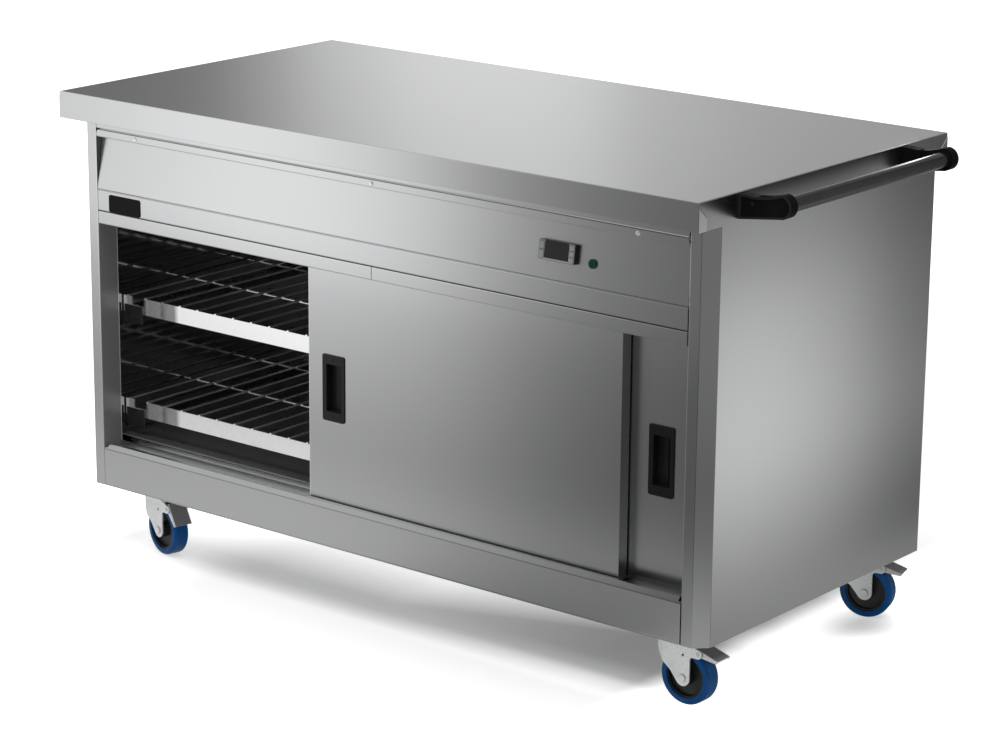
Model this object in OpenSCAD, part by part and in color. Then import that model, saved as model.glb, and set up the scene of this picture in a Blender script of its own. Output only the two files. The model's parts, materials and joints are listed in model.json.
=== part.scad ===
// Mobile hot cupboard: a folded stainless cabinet with two sliding doors,
// a leaning control fascia, a push handle and four braked swivel casters.
// Origin: middle of the footprint on the floor. +Z is up and the doors face -Y.

/* [Counter] */
// Counter length, end to end
counter_width = 1456; // [1100:2:2000]
// Counter depth, front to back
counter_depth = 760; // [660:2:900]
// Height of the counter above the floor
counter_height = 900; // [870:1:960]
// Depth of the folded lip
lip_height = 50; // [30:1:60]
// Width of the fold at the lip's lower edge
lip_fold = 12; // [8:1:16]
// Thickness of the counter sheet
counter_sheet = 1.5; // [1:0.1:2.5]
// Depth of the insulated deck below the lip's edge
deck_drop = 12; // [6:1:16]

/* [Cabinet] */
// Height of the cabinet's underside above the floor
body_bottom = 130; // [122:1:150]
// How far the counter stands out over the front
front_overhang = 46; // [30:1:60]
// How far the counter stands out over the back
back_overhang = 34; // [20:1:50]
// How far each end panel stands in from the counter's end
end_inset = 2; // [1:0.5:8]
// Cut corner, measured along the front
corner_cut_x = 23; // [10:1:34]
// Cut corner, measured along the side
corner_cut_y = 22; // [10:1:34]
// Width of the front stile
stile_width = 23; // [16:1:34]
// Depth of the stile's return beside the doors
stile_return = 49; // [42:1:50]
// Width of the end panel's flange at the back
back_flange = 22; // [14:1:34]
// Thickness of the cabinet sheets
panel_sheet = 1.2; // [0.8:0.1:1.6]
// Thickness of the base pan
base_sheet = 1.5; // [1:0.1:2.5]
// Insulation between outer panels and liner
insulation = 17; // [12:1:24]
// Thickness of the liner
liner_sheet = 1; // [0.8:0.1:1.6]

/* [Front] */
// Height of the trim strip under the lip
trim_height = 21; // [17:1:26]
// Height of the fascia's screwed flange
fascia_flange = 15; // [10:1:22]
// Height of the fascia's leaning face
fascia_height = 100.5; // [80:0.5:120]
// How far the fascia leans back at its top
fascia_setback = 15; // [8:1:18]
// Height of the top rail
rail_height = 39.3; // [36:0.1:50]
// Height of the header covers
header_height = 24.5; // [16:0.5:32]
// Open seam between neighbouring panels
seam = 1; // [0.5:0.1:2]
// Depth of the long folds behind the front panels
fold_long = 24; // [20:1:28]
// Depth of the short folds behind the front panels
fold_short = 12; // [8:1:13]
// Height of the plinth's upright face
plinth_height = 72; // [60:0.1:90]
// Rise of the sill's bevel
sill_rise = 9; // [4:0.1:12]
// Depth of the sill's bevel
sill_bevel = 8; // [4:0.5:10]
// Depth of the whole sill
sill_depth = 16.5; // [16:0.5:22]
// Relief at each end of the sill
sill_notch = 6; // [3:0.5:12]

/* [Doors] */
// How far the closed doors overlap in the middle
door_overlap = 44; // [30:1:80]
// Thickness of each door
door_thick = 23; // [22:0.5:25]
// Space between the two doors
door_space = 3; // [2.5:0.1:5]
// Space between sill and front door
door_clear = 4; // [3:0.1:6]
// Depth of the lower track below the sill
track_depth = 12; // [9:0.5:18]
// Height of the doors above the track's floor
door_lift = 5.5; // [3:0.5:8]
// How far the doors reach up behind the header covers
door_lap = 8.5; // [5:0.5:10]
// Where the front door stands in its travel, from -1 at the left to 1 at the right
front_door_share = 0.5627; // [-1:0.0001:1]
// Where the rear door stands in its travel, from -1 at the left to 1 at the right
rear_door_share = 0.948; // [-1:0.0001:1]
// Width of the door pull
pull_width = 52; // [44:1:70]
// Height of the door pull
pull_height = 124; // [100:1:160]
// How far the pull stands in from the door's edge
pull_inset = 34; // [20:1:60]
// How far the pull's middle stands below the door's middle
pull_drop = 5.5; // [0:0.5:60]
// Depth of the pull's recess
pull_depth = 14; // [8:0.5:16]
// Radius of the door rollers
roller_r = 11; // [9:0.5:12]
// Width of the door rollers
roller_width = 8; // [6:0.5:8]
// Radius of the roller pins
roller_pin_r = 3; // [2:0.25:4]

/* [Controls] */
// Width of the controller's bezel
bezel_width = 76; // [70:1:90]
// Height of the controller's bezel
bezel_height = 34; // [32:1:44]
// How far the bezel stands off the fascia
bezel_depth = 9; // [6:0.5:12]
// Depth of the controller behind the fascia
case_depth = 40; // [25:1:60]
// How far the controller's middle stands in from the right stile
bezel_inset = 270; // [180:1:400]
// Height of the controller's middle along the leaning face
bezel_up = 50; // [40:1:56]
// Width of the display window
window_width = 50; // [44:1:52]
// How far the lamp stands right of the controller's middle
lamp_offset = 71; // [60:1:100]
// Height of the lamp along the leaning face
lamp_up = 40; // [25:1:60]
// Radius of the lamp's lens
lamp_r = 8.2; // [6:0.2:10]
// How far a key travels
key_travel = 0.8; // [0.4:0.1:1]

/* [Shelves] */
// Height of the upper shelf's bars above the liner's floor
upper_rise = 243.5; // [200:0.5:280]
// Height of the lower shelf's bars above the liner's floor
lower_rise = 37.5; // [30:0.5:80]
// Depth of the shelf bars
bar_height = 32; // [28:1:40]
// Thickness of the shelf bars
bar_thick = 3; // [2:0.25:5]
// Radius of the shelf wires
wire_r = 2.5; // [1.5:0.25:4]
// Spacing of the shelf wires
wire_pitch = 46; // [30:1:60]

/* [Handle] */
// How far the handle tube stands off the counter's end
handle_reach = 81.5; // [60:0.5:120]
// How far the handle tube's socket stands above the counter
socket_rise = 5.5; // [0:0.5:12]
// How far the handle's middle stands ahead of the counter's middle
handle_ahead = 10; // [0:1:60]
// Radius of the handle tube
tube_r = 13.5; // [11:0.5:16]
// Wall of the handle tube
tube_wall = 2; // [1:0.25:4]
// Distance between the middles of the handle brackets
handle_span = 497; // [300:1:560]
// Width of a handle bracket
bracket_width = 20; // [16:1:40]
// Wall of the bracket's socket
socket_wall = 6.5; // [4:0.5:8]

/* [Casters] */
// Radius of the wheels
wheel_r = 50; // [46:0.5:51]
// Width of the tyres
tyre_width = 32; // [26:1:34]
// Depth of the tyres
tyre_depth = 12; // [8:0.5:14]
// Horizontal distance from swivel axis to axle
trail = 40; // [36:0.5:44]
// Distance of the swivel axes from the end panels
caster_inset = 114; // [90:1:200]
// Distance of the front swivel axes behind the front panels
caster_front = 72; // [60:1:120]
// Distance of the rear swivel axes ahead of the back panel
caster_back = 54; // [52:1:120]
// Radius of the axle
axle_r = 5; // [3:0.25:6]
// Thickness of the fork
fork_sheet = 2.5; // [2:0.25:3]
// Angle of a released brake pedal below level
pedal_released = 17; // [10:1:20]
// Extra angle of a pressed brake pedal
pedal_press = 40; // [25:1:42]

/* [Hidden] */
$fn = 48;

// Overrun of cuts past a face, and lap of joined shapes
over = 1;
// Clearance of a running fit
fit = 0.05;
// Gap between pieces that move past each other
gap = 0.4;

// Colours
steel = [0.72, 0.73, 0.74];
dark_steel = [0.42, 0.43, 0.44];
zinc = [0.8, 0.81, 0.82];
black = [0.09, 0.09, 0.1];
blue = [0.08, 0.3, 0.52];

// Folds: inside radius as a share of the sheet, and flats that make up one bend
bend_share = 1;
bend_steps = 4;

// Counter edges, and the tabs that lap its end lips at the corners
counter_round = 2.2;
corner_lap = 1;
lap_width = 23;
lap_shoulder = 21;
lap_drop = 7;
end_x = counter_width / 2 - corner_lap;

// Plan of the cabinet
side_x = counter_width / 2 - end_inset;
stile_out = side_x - corner_cut_x;
stile_in = stile_out - stile_width;
front_y = front_overhang - counter_depth / 2;
back_y = counter_depth / 2 - back_overhang;
return_y = front_y + stile_return;
panel_back = back_y - panel_sheet;
inside_back = panel_back - panel_sheet;
inside_x = side_x - panel_sheet;
liner_x = inside_x - insulation;
liner_back = inside_back - insulation;
panel_x = stile_in - seam;

// Levels, from the counter down
lip_z = counter_height - lip_height;
trim_z = lip_z - trim_height;
flange_top_z = trim_z - seam;
flange_z = flange_top_z - fascia_flange;
slope_z = flange_z - fascia_height;
tray_z = slope_z - panel_sheet;
rail_z = tray_z - rail_height;
header_top_z = rail_z - seam;
header_z = header_top_z - header_height;
base_z = body_bottom + base_sheet;
sill_front_z = base_z + plinth_height;
sill_z = sill_front_z + sill_rise;
lean = atan(fascia_setback / fascia_height);
fascia_round = 9;

// Door places
sill_back = front_y + sill_depth;
front_door_y = sill_back + door_clear;
rear_door_y = front_door_y + door_thick + door_space;
track_sheet = 1.5;
track_back = rear_door_y + door_thick + door_space;
track_floor_z = sill_z - track_depth;
rib_sheet = 1.2;
rib_drop = 1.5;
door_z = track_floor_z + door_lift;
door_top = header_z + door_lap;
door_width = stile_in + door_overlap / 2;
door_stop = 2;
door_travel = stile_in - door_stop - door_width / 2;
front_door_x = door_travel * front_door_share;
rear_door_x = door_travel * rear_door_share;
pull_z = (door_z + door_top) / 2 - pull_drop;

// Roller places, measured back from each door's face
tab_off = 3;
tab_sheet = 2;
tab_width = 30;
hanger_inset = 60;
rail_sheet = 2;
ledge_clear = 0.5;
roller_clear = 1.5;
web_clear = 1;
head_room = 10;
ceiling_lift = 2.5;
roller_off = tab_off + tab_sheet + roller_clear;
pin_end = roller_off + roller_width + 2 * gap;
pin_head = 1.6;
pin_head_r = 5.5;
ledge_off = tab_off + tab_sheet + ledge_clear;
web_off = pin_end + pin_head + web_clear;
track_top = tray_z - panel_sheet;
apron_y = front_y + fold_short;
ledge_z = track_top - rail_sheet - 2 * roller_r - head_room;
roller_z = ledge_z + gap + roller_r;
ceiling_z = header_z + ceiling_lift;

// Door pull
rim_proud = 2;
rim_round = 4;
cup_wall = 1.5;
recess_height_share = 0.71;
recess_left_share = -0.32;
recess_flat_share = 0.09;
recess_right_share = 0.36;

// Controller and lamp
bezel_x = stile_in - bezel_inset;
lamp_x = bezel_x + lamp_offset;
bezel_round = 2.5;
hole_inset = 3;
hole_clear = 0.5;
window_inset = 4;
window_thick = 1.5;
key_strip = (bezel_width - window_width) / 2;
key_margin = 2;
key_proud = 1;
key_depth = 2.5;
key_gap = 0.3;
key_space = 1.6;
lamp_hole_share = 0.62;
lamp_flange = 2.5;
lamp_body = 24;

// Shelves
upper_shelf_z = sill_z + upper_rise;
lower_shelf_z = sill_z + lower_rise;
shelf_clear = 1.5;
shelf_setback = 12;
shelf_back_gap = 10;
runner_width = 26;
runner_sheet = 1.5;
shelf_front = track_back + liner_sheet + shelf_setback;
shelf_back = liner_back - liner_sheet - shelf_back_gap;
shelf_x = liner_x - liner_sheet - shelf_clear;
wire_sink_share = 0.4;
notch_width = 32;
notch_depth = 16;
notch_inset = 38;
clip_inset = 2;
clip_lap = 12;
clip_drop = 20;
clip_rise = 15;
cross_r = 2.5;
cross_sink_share = 0.85;
end_wire = 14;
bar_x = shelf_x - runner_sheet;
notch_x = bar_x - notch_inset;
wire_count = floor((notch_x - notch_width / 2 - wire_r) / wire_pitch);
wire_xs = concat(
    [for (i = [-wire_count : wire_count]) i * wire_pitch],
    [for (s = [-1, 1]) s * (bar_x - end_wire)]
);

// Heating element, probe and gland
element_r = 4;
element_bend = 36;
element_runs = 4;
element_inset = 218;
element_half = liner_x - element_inset;
saddle_width = 18;
saddle_height = 26;
probe_r = 3;
probe_length = 70;
probe_flange_r = 9;
probe_drop = 59;
probe_z = ceiling_z - probe_drop;
gland_inset = 166;
gland_rise = 40;
gland_x = gland_inset - side_x;
gland_z = body_bottom + gland_rise;
gland_r = 10;
gland_hex_r = 15;
gland_hex = 7;
gland_dome = 12;
gland_bore = 5;
gland_clear = 0.1;

// Handle
socket_r = tube_r + socket_wall;
tube_x = end_x + handle_reach;
tube_z = counter_height + socket_rise - socket_r;
socket_end = 6;
collar_wall = 3;
collar_length = 4;
foot_drop = 3;
foot_height = 42;
foot_depth = 12;
arm_dip = 4;
panel_rim = 4;
panel_sink = 1;
cab_x = (counter_width / 2 - tube_x - socket_r) / 2;

// Casters, named as seen from the front
caster_names = ["fl", "fr", "bl", "br"];
caster_sides = [-1, 1, -1, 1];
caster_turns = [-14, 0, 8, 15];
caster_pressed = [1, 0, 0, 0];
caster_x = side_x - caster_inset;
front_swivel_y = front_y + caster_front;
back_swivel_y = back_y - caster_back;
caster_ys = [front_swivel_y, front_swivel_y, back_swivel_y, back_swivel_y];
plate_x = 104;
plate_y = 84;
plate_sheet = 3;
plate_hole_r = 4.5;
plate_hole_inset = 12;
race_r = 27;
race_height = 6;
crown_height = 7;
pin_r = 6;
head_r = 10;
head_height = 4;
crown_z = body_bottom - plate_sheet - race_height - gap;
hub_side = 3;
cheek_clear = 1;
cheek_gap = tyre_width / 2 + hub_side + cheek_clear;
fork_half = cheek_gap + fork_sheet;
axle_head_r = 6.5;
axle_head = 3;
leg_r = 14;
leg_tangent = 220;
knee_out_share = 0.09;
knee_up_share = 1.6;
ankle_in_share = 1.85;
ankle_up_share = 0.7;
throat_r = 6;
cheek_hole_r = 2.5;
cheek_hole_rise = 42;
boss_r = 15;
web_share = 0.45;
tyre_round_share = 0.45;
pedal_reach = 30;
pedal_rise = 49;
pivot_x = trail + pedal_reach;
pivot_z = wheel_r + pedal_rise;
pivot_eye = 8;
pivot_pin_r = 3;
pivot_proud = 1;
lug_clear = 1;
tread_lift = 4;
tread_sheet = 2.5;
tread_back = 8;
tread_out = 38;
tread_rib = 1;
tread_ribs = 9;
tip_depth = 2;
lug_sheet = 2;
lug_r = 6;
lug_share = 0.9;

function unit(v) = v / norm(v);
function left_of(d) = [-d[1], d[0]];
function spun(v, angle) = [v[0] * cos(angle) - v[1] * sin(angle), v[0] * sin(angle) + v[1] * cos(angle)];
function leg(path, i) = unit(path[i + 1] - path[i]);
// Points round one bend of a sheet that lies to the left of its path, at a distance from it
function bend(path, i, sheet, away) = let (
    before = leg(path, i - 1),
    turn = atan2(left_of(before) * leg(path, i), before * leg(path, i)),
    side = sign(turn),
    r = sheet * (side > 0 ? bend_share + 1 : bend_share),
    centre = path[i] - r * tan(abs(turn) / 2) * before + side * r * left_of(before)
) [for (k = [0 : bend_steps])
    centre + (away - side * r) * spun(left_of(before), turn * k / bend_steps)];
function face_line(path, sheet, away) = let (last = len(path) - 1) concat(
    [path[0] + away * left_of(leg(path, 0))],
    [for (i = [1 : last - 1]) each bend(path, i, sheet, away)],
    [path[last] + away * left_of(leg(path, last - 1))]
);
// Outline of a sheet folded along a path, with its thickness to the path's left
function folded(path, sheet) = let (far = face_line(path, sheet, sheet)) concat(
    face_line(path, sheet, 0),
    [for (i = [len(far) - 1 : -1 : 0]) far[i]]
);

module place() { translate([cab_x, 0, 0]) children(); }
module box(low, high) { translate(low) cube(high - low); }
// A profile drawn in Y and Z, drawn out along X
module along_x(x0, x1) {
    translate([x0, 0, 0]) rotate([90, 0, 90]) linear_extrude(x1 - x0) children();
}
// A profile drawn in X and Z, drawn out along Y
module along_y(y0, y1) {
    translate([0, y1, 0]) rotate([90, 0, 0]) linear_extrude(y1 - y0) children();
}
module rod_y(x, z, y0, y1, r) {
    translate([x, y0, z]) rotate([-90, 0, 0]) cylinder(h = y1 - y0, r = r);
}
module round_square(w, h, r) {
    square([w - 2 * r, h], center = true);
    square([w, h - 2 * r], center = true);
    for (sx = [-1, 1], sy = [-1, 1]) translate([sx * (w / 2 - r), sy * (h / 2 - r)]) circle(r);
}
// A level plate that fills the cabinet's plan, with a tongue between the stiles
module plan_plate(half_x, z0, z1) {
    box([-half_x, return_y, z0], [half_x, inside_back, z1]);
    box([-stile_in, front_y + panel_sheet, z0], [stile_in, return_y + over, z1]);
}
module front_profile(path, x0, x1) { along_x(x0, x1) polygon(folded(path, panel_sheet)); }
// Frame of the leaning fascia: X along it, Z up its face, -Y out of it
module on_fascia(x, up) {
    translate([x, front_y, slope_z]) rotate([-lean, 0, 0]) translate([0, 0, up]) children();
}

// Section of a block with its upper corners rounded
module crowned(half, z0, z1, r) {
    translate([-half, z0]) square([2 * half, z1 - z0 - r]);
    translate([r - half, z0]) square([2 * (half - r), z1 - z0]);
    for (s = [-1, 1]) translate([s * (half - r), z1 - r]) circle(r);
}
// Counter: a tray folded from one sheet, with a deep lip, an inward fold and lapped corners
module counter_top() color(steel) place() {
    half = [end_x, counter_depth / 2];
    inner = half - [counter_sheet, counter_sheet];
    mouth = inner - [lip_fold, lip_fold];
    top_z = counter_height - counter_sheet;
    difference() {
        intersection() {
            along_x(-half[0], half[0]) crowned(half[1], lip_z, counter_height, counter_round);
            along_y(-half[1], half[1]) crowned(half[0], lip_z, counter_height, counter_round);
        }
        box([-inner[0], -inner[1], lip_z + counter_sheet], [inner[0], inner[1], top_z]);
        box([-mouth[0], -mouth[1], lip_z - over], [mouth[0], mouth[1], top_z]);
    }
    for (sx = [-1, 1], sy = [-1, 1]) scale([sx, sy, 1]) along_x(half[0] - over, half[0] + corner_lap)
        polygon([
            [half[1], lip_z], [half[1], counter_height - lap_drop],
            [half[1] - lap_width, lip_z + lap_shoulder], [half[1] - lap_width, lip_z]
        ]);
}
// Deck: a pan under the counter, with a tongue between the stiles
module insulated_deck() color(dark_steel) place() {
    deck_x = end_x - counter_sheet - lip_fold - seam;
    z0 = lip_z - deck_drop;
    z1 = counter_height - counter_sheet;
    difference() {
        deck_block(deck_x, panel_x, 0, z0, z1);
        deck_block(deck_x - panel_sheet, panel_x - panel_sheet, panel_sheet,
            z0 + panel_sheet, z1 + over);
    }
}
module deck_block(body_x, tongue_x, wall, z0, z1) {
    box([-body_x, return_y + wall, z0], [body_x, inside_back - wall, z1]);
    box([-tongue_x, front_y + panel_sheet + wall, z0], [tongue_x, return_y + wall + over, z1]);
}

// End panel: one sheet from stile return to back flange, with a cut front corner
module end_panel() {
    path = [
        [stile_in, return_y], [stile_in, front_y], [stile_out, front_y],
        [side_x, front_y + corner_cut_y], [side_x, back_y], [side_x - back_flange, back_y]
    ];
    translate([0, 0, body_bottom]) linear_extrude(lip_z - body_bottom)
        polygon(folded(path, panel_sheet));
}
module end_panel_right() { color(steel) place() end_panel(); }
module end_panel_left() { color(steel) place() mirror([1, 0, 0]) end_panel(); }

module back_panel() color(steel) place() difference() {
    half = side_x - back_flange / 2;
    box([-half, inside_back, base_z], [half, panel_back, lip_z]);
    rod_y(gland_x, gland_z, inside_back - over, panel_back + over, gland_r);
}
module base_pan() { color(steel) place() plan_plate(inside_x, body_bottom, base_z); }
module service_tray() { color(steel) place() plan_plate(inside_x, tray_z, slope_z); }

// Plinth with its bevelled sill, relieved at both ends
module front_plinth() color(steel) place() difference() {
    front_profile([
        [sill_back, track_floor_z - track_sheet], [sill_back, sill_z], [front_y + sill_bevel, sill_z],
        [front_y, sill_front_z], [front_y, base_z], [front_y + fold_long, base_z]
    ], -panel_x, panel_x);
    for (s = [-1, 1]) scale([s, 1, 1])
        box([panel_x - sill_notch, front_y + 2 * panel_sheet, sill_front_z - over],
            [panel_x + over, sill_back + over, sill_z + over]);
}
module lower_track() color(steel) place() {
    low = track_floor_z - track_sheet;
    rib_y = front_door_y + door_thick + (door_space - rib_sheet) / 2;
    box([-panel_x, sill_back, low], [panel_x, track_back + track_sheet, track_floor_z]);
    box([-panel_x, rib_y, low], [panel_x, rib_y + rib_sheet, sill_z - rib_drop]);
    box([-panel_x, track_back, low], [panel_x, track_back + track_sheet, sill_z - track_sheet]);
}
// Upper track: an apron for the header covers and a ledge for each door's rollers
module upper_track() color(steel) place() {
    last = rear_door_y + web_off + rail_sheet;
    box([-panel_x, apron_y, track_top - rail_sheet], [panel_x, last, track_top]);
    box([-panel_x, apron_y, header_z + seam], [panel_x, apron_y + rail_sheet, track_top]);
    for (y = [front_door_y, rear_door_y]) {
        box([-panel_x, y + web_off, ledge_z - rail_sheet], [panel_x, y + web_off + rail_sheet, track_top]);
        box([-panel_x, y + ledge_off, ledge_z - rail_sheet], [panel_x, y + web_off + rail_sheet, ledge_z]);
    }
}
module trim_strip() color(steel) place() front_profile([
    [front_y, lip_z], [front_y, trim_z], [front_y + fold_long, trim_z],
    [front_y + fold_long, trim_z - fold_short]
], -panel_x, panel_x);

// Fascia: flange with rounded corners, step back and leaning face, cut for controller and lamp
module control_fascia() color(steel) place() difference() {
    front_profile([
        [front_y + fold_long, flange_top_z], [front_y, flange_top_z], [front_y, flange_z],
        [front_y + fascia_setback, flange_z], [front_y, slope_z], [front_y + fold_long, slope_z]
    ], -panel_x, panel_x);
    on_fascia(bezel_x, bezel_up) box(
        [hole_inset - bezel_width / 2, -over, hole_inset - bezel_height / 2],
        [bezel_width / 2 - hole_inset, panel_sheet + over, bezel_height / 2 - hole_inset]);
    on_fascia(lamp_x, lamp_up) rod_y(0, 0, -over, panel_sheet + over, lamp_r * lamp_hole_share);
    for (s = [-1, 1]) scale([s, 1, 1]) along_y(front_y - over, front_y + fold_long + over)
        translate([panel_x - fascia_round, flange_top_z - fascia_round]) difference() {
            square(fascia_round + over);
            circle(fascia_round);
        }
}
module top_rail() color(steel) place() front_profile([
    [front_y + fold_long, tray_z], [front_y, tray_z], [front_y, rail_z], [front_y + fold_short, rail_z]
], -panel_x, panel_x);
module header_cover(x0, x1) color(steel) place() front_profile([
    [front_y + fold_short, header_top_z], [front_y, header_top_z],
    [front_y, header_z], [front_y + fold_short, header_z]
], x0, x1);
module header_cover_left() { header_cover(-panel_x, -seam / 2); }
module header_cover_right() { header_cover(seam / 2, panel_x); }

// Key places: two on the bezel's left strip and three on its right, from the top
function key_up(i, count) = (count - 1 - 2 * i) / 2 * (bezel_height - 2 * key_margin) / count;
function key_height(count) = (bezel_height - 2 * key_margin) / count - key_space;
function key_x(side) = side * (bezel_width - key_strip) / 2;
module key_block(side, i, count, out, back, grow) {
    w = (key_strip - 2 * key_margin) / 2 + grow;
    h = key_height(count) / 2 + grow;
    translate([key_x(side), 0, key_up(i, count)]) box([-w, out, -h], [w, back, h]);
}
module controller_case() color(black) place() on_fascia(bezel_x, bezel_up) difference() {
    body_x = bezel_width / 2 - hole_inset - hole_clear;
    body_z = bezel_height / 2 - hole_inset - hole_clear;
    union() {
        along_y(-bezel_depth, 0) round_square(bezel_width, bezel_height, bezel_round);
        box([-body_x, -over, -body_z], [body_x, case_depth, body_z]);
    }
    box([-window_width / 2, -bezel_depth - over, window_inset - bezel_height / 2],
        [window_width / 2, window_thick - bezel_depth, bezel_height / 2 - window_inset]);
    for (i = [0 : 1]) key_pocket(-1, i, 2);
    for (i = [0 : 2]) key_pocket(1, i, 3);
}
module key_pocket(side, i, count) {
    key_block(side, i, count, -bezel_depth - over,
        key_depth + key_travel + key_gap - bezel_depth, key_gap);
}
module display_window() color(black) place() on_fascia(bezel_x, bezel_up)
    box([-window_width / 2, -bezel_depth, window_inset - bezel_height / 2],
        [window_width / 2, window_thick - bezel_depth, bezel_height / 2 - window_inset]);
module key(side, i, count) color(zinc) place() on_fascia(bezel_x, bezel_up)
    key_block(side, i, count, -bezel_depth - key_proud, key_depth - bezel_depth, 0);
module indicator_lamp() color([0.05, 0.25, 0.12]) place() on_fascia(lamp_x, lamp_up) {
    rod_y(0, 0, -lamp_flange, 0, lamp_r);
    rod_y(0, 0, -lamp_flange, lamp_body, lamp_r * lamp_hole_share - hole_clear);
}

// Liner: sides, back and ceiling, with an upstand behind the door rollers
module liner() color(dark_steel) place() {
    top = ceiling_z + liner_sheet;
    inner = liner_x - liner_sheet;
    for (s = [-1, 1]) scale([s, 1, 1])
        box([inner, track_back, base_z], [liner_x, liner_back, top]);
    box([-liner_x, liner_back - liner_sheet, base_z], [liner_x, liner_back, top]);
    box([-liner_x, track_back, ceiling_z], [liner_x, liner_back, top]);
    box([-liner_x, track_back, ceiling_z], [liner_x, track_back + liner_sheet, tray_z]);
}
module liner_floor() color(dark_steel) place() {
    inner = liner_x - liner_sheet;
    box([-inner, track_back, sill_z - track_sheet], [inner, liner_back - liner_sheet, sill_z]);
}
// Runners: angles on the liner's sides, each ending in a clip in front of the shelf's bar
module shelf_runners() color(dark_steel) place()
    for (s = [-1, 1], z = [upper_shelf_z, lower_shelf_z]) scale([s, 1, 1]) {
        outer = liner_x - liner_sheet;
        front = shelf_front - runner_sheet;
        box([outer - runner_width, front, z - runner_sheet], [outer, shelf_back, z]);
        box([outer - runner_sheet, front, z - runner_width], [outer, shelf_back, z]);
        box([notch_x - clip_lap, front, z - clip_drop], [bar_x - clip_inset, shelf_front, z + clip_rise]);
    }
// Shelf: notched bars at front and back, round wires between them and two rods across
module shelf(z) {
    top = z + bar_height;
    wire_z = top + wire_r * wire_sink_share;
    cross_z = wire_z - (wire_r + cross_r) * cross_sink_share;
    for (y = [shelf_front, shelf_back - bar_thick]) difference() {
        box([-bar_x, y, z], [bar_x, y + bar_thick, top]);
        for (s = [-1, 1]) translate([s * notch_x, 0, 0])
            box([-notch_width / 2, y - over, top - notch_depth],
                [notch_width / 2, y + bar_thick + over, top + over]);
    }
    for (i = [1, 2]) translate([-bar_x, shelf_front + i * (shelf_back - shelf_front) / 3, cross_z])
        rotate([0, 90, 0]) cylinder(h = 2 * bar_x, r = cross_r);
    for (x = wire_xs)
        rod_y(x, wire_z, shelf_front - wire_r, shelf_back + wire_r, wire_r, $fn = 16);
}
module upper_shelf() { color(zinc) place() shelf(upper_shelf_z); }
module lower_shelf() { color(zinc) place() shelf(lower_shelf_z); }

// Heating element: a flat serpentine on two saddles under the liner floor
module heating_element() color(dark_steel) place() {
    run_z = base_z + saddle_height;
    half = element_half;
    first = -(element_runs - 1) * element_bend / 2;
    for (i = [0 : element_runs - 1])
        translate([-half, first + i * element_bend, run_z]) rotate([0, 90, 0])
            cylinder(h = 2 * half, r = element_r);
    for (i = [0 : element_runs - 2]) {
        side = i % 2 == 0 ? 1 : -1;
        translate([side * half, first + (2 * i + 1) / 2 * element_bend, run_z]) rotate([0, 0, -90 * side])
            rotate_extrude(angle = 180) translate([element_bend / 2, 0]) circle(element_r);
    }
    for (s = [-1, 1]) translate([s * half / 2, 0, 0])
        box([-saddle_width / 2, first - element_bend / 2, base_z],
            [saddle_width / 2, element_bend / 2 - first, run_z]);
}
module temperature_probe() color(zinc) place() {
    wall = liner_back - liner_sheet;
    rod_y(-liner_x / 2, probe_z, wall - probe_length, wall, probe_r);
    rod_y(-liner_x / 2, probe_z, wall - probe_r, wall, probe_flange_r);
}
module cable_gland() color(black) place() difference() {
    hex_y = panel_back + gland_hex;
    union() {
        rod_y(gland_x, gland_z, panel_back, hex_y, gland_hex_r, $fn = 6);
        rod_y(gland_x, gland_z, hex_y - over, hex_y + gland_dome, gland_r);
        rod_y(gland_x, gland_z, inside_back - gland_hex, panel_back + over, gland_r - gland_clear);
        rod_y(gland_x, gland_z, inside_back - gland_hex, inside_back, gland_hex_r, $fn = 6);
    }
    rod_y(gland_x, gland_z, inside_back - gland_hex - over, hex_y + gland_dome + over, gland_bore);
}

// Side view of a handle bracket, drawn in by a rim: foot on the lip, dipped arm and round socket
module bracket_side(rim) difference() {
    foot_z = counter_height - foot_drop;
    low = [end_x + foot_depth, foot_z];
    high = [tube_x, tube_z + socket_r];
    span = norm(high - low);
    dip_r = (span * span / 4 + arm_dip * arm_dip) / (2 * arm_dip);
    union() {
        translate([tube_x, tube_z]) circle(socket_r - rim);
        polygon([
            [end_x + rim, foot_z - rim], [low[0], foot_z - rim], [tube_x, high[1] - rim],
            [tube_x, tube_z - socket_r + rim], [end_x + rim, foot_z - foot_height + rim]
        ]);
    }
    translate((low + high) / 2 + (dip_r - arm_dip) * left_of(unit(high - low))) circle(dip_r + rim);
}
// Bracket: an arm with a sunk outer face, and a blind socket with a collar for the tube
module handle_bracket() difference() {
    inner = bracket_width + collar_length;
    union() {
        along_y(0, bracket_width) bracket_side(0);
        rod_y(tube_x, tube_z, bracket_width - over, inner, tube_r + collar_wall);
    }
    along_y(-over, panel_sink) bracket_side(panel_rim);
    rod_y(tube_x, tube_z, socket_end, inner + over, tube_r + fit);
}
module handle_brackets() color(black) place() translate([0, -handle_ahead, 0])
    for (s = [-1, 1]) scale([1, s, 1])
        translate([0, -(handle_span + bracket_width) / 2, 0]) handle_bracket();
module handle_tube() color(dark_steel) place() translate([0, -handle_ahead, 0]) difference() {
    end_y = (handle_span + bracket_width) / 2 - socket_end;
    rod_y(tube_x, tube_z, -end_y, end_y, tube_r);
    rod_y(tube_x, tube_z, -end_y - over, end_y + over, tube_r - tube_wall);
}

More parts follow.
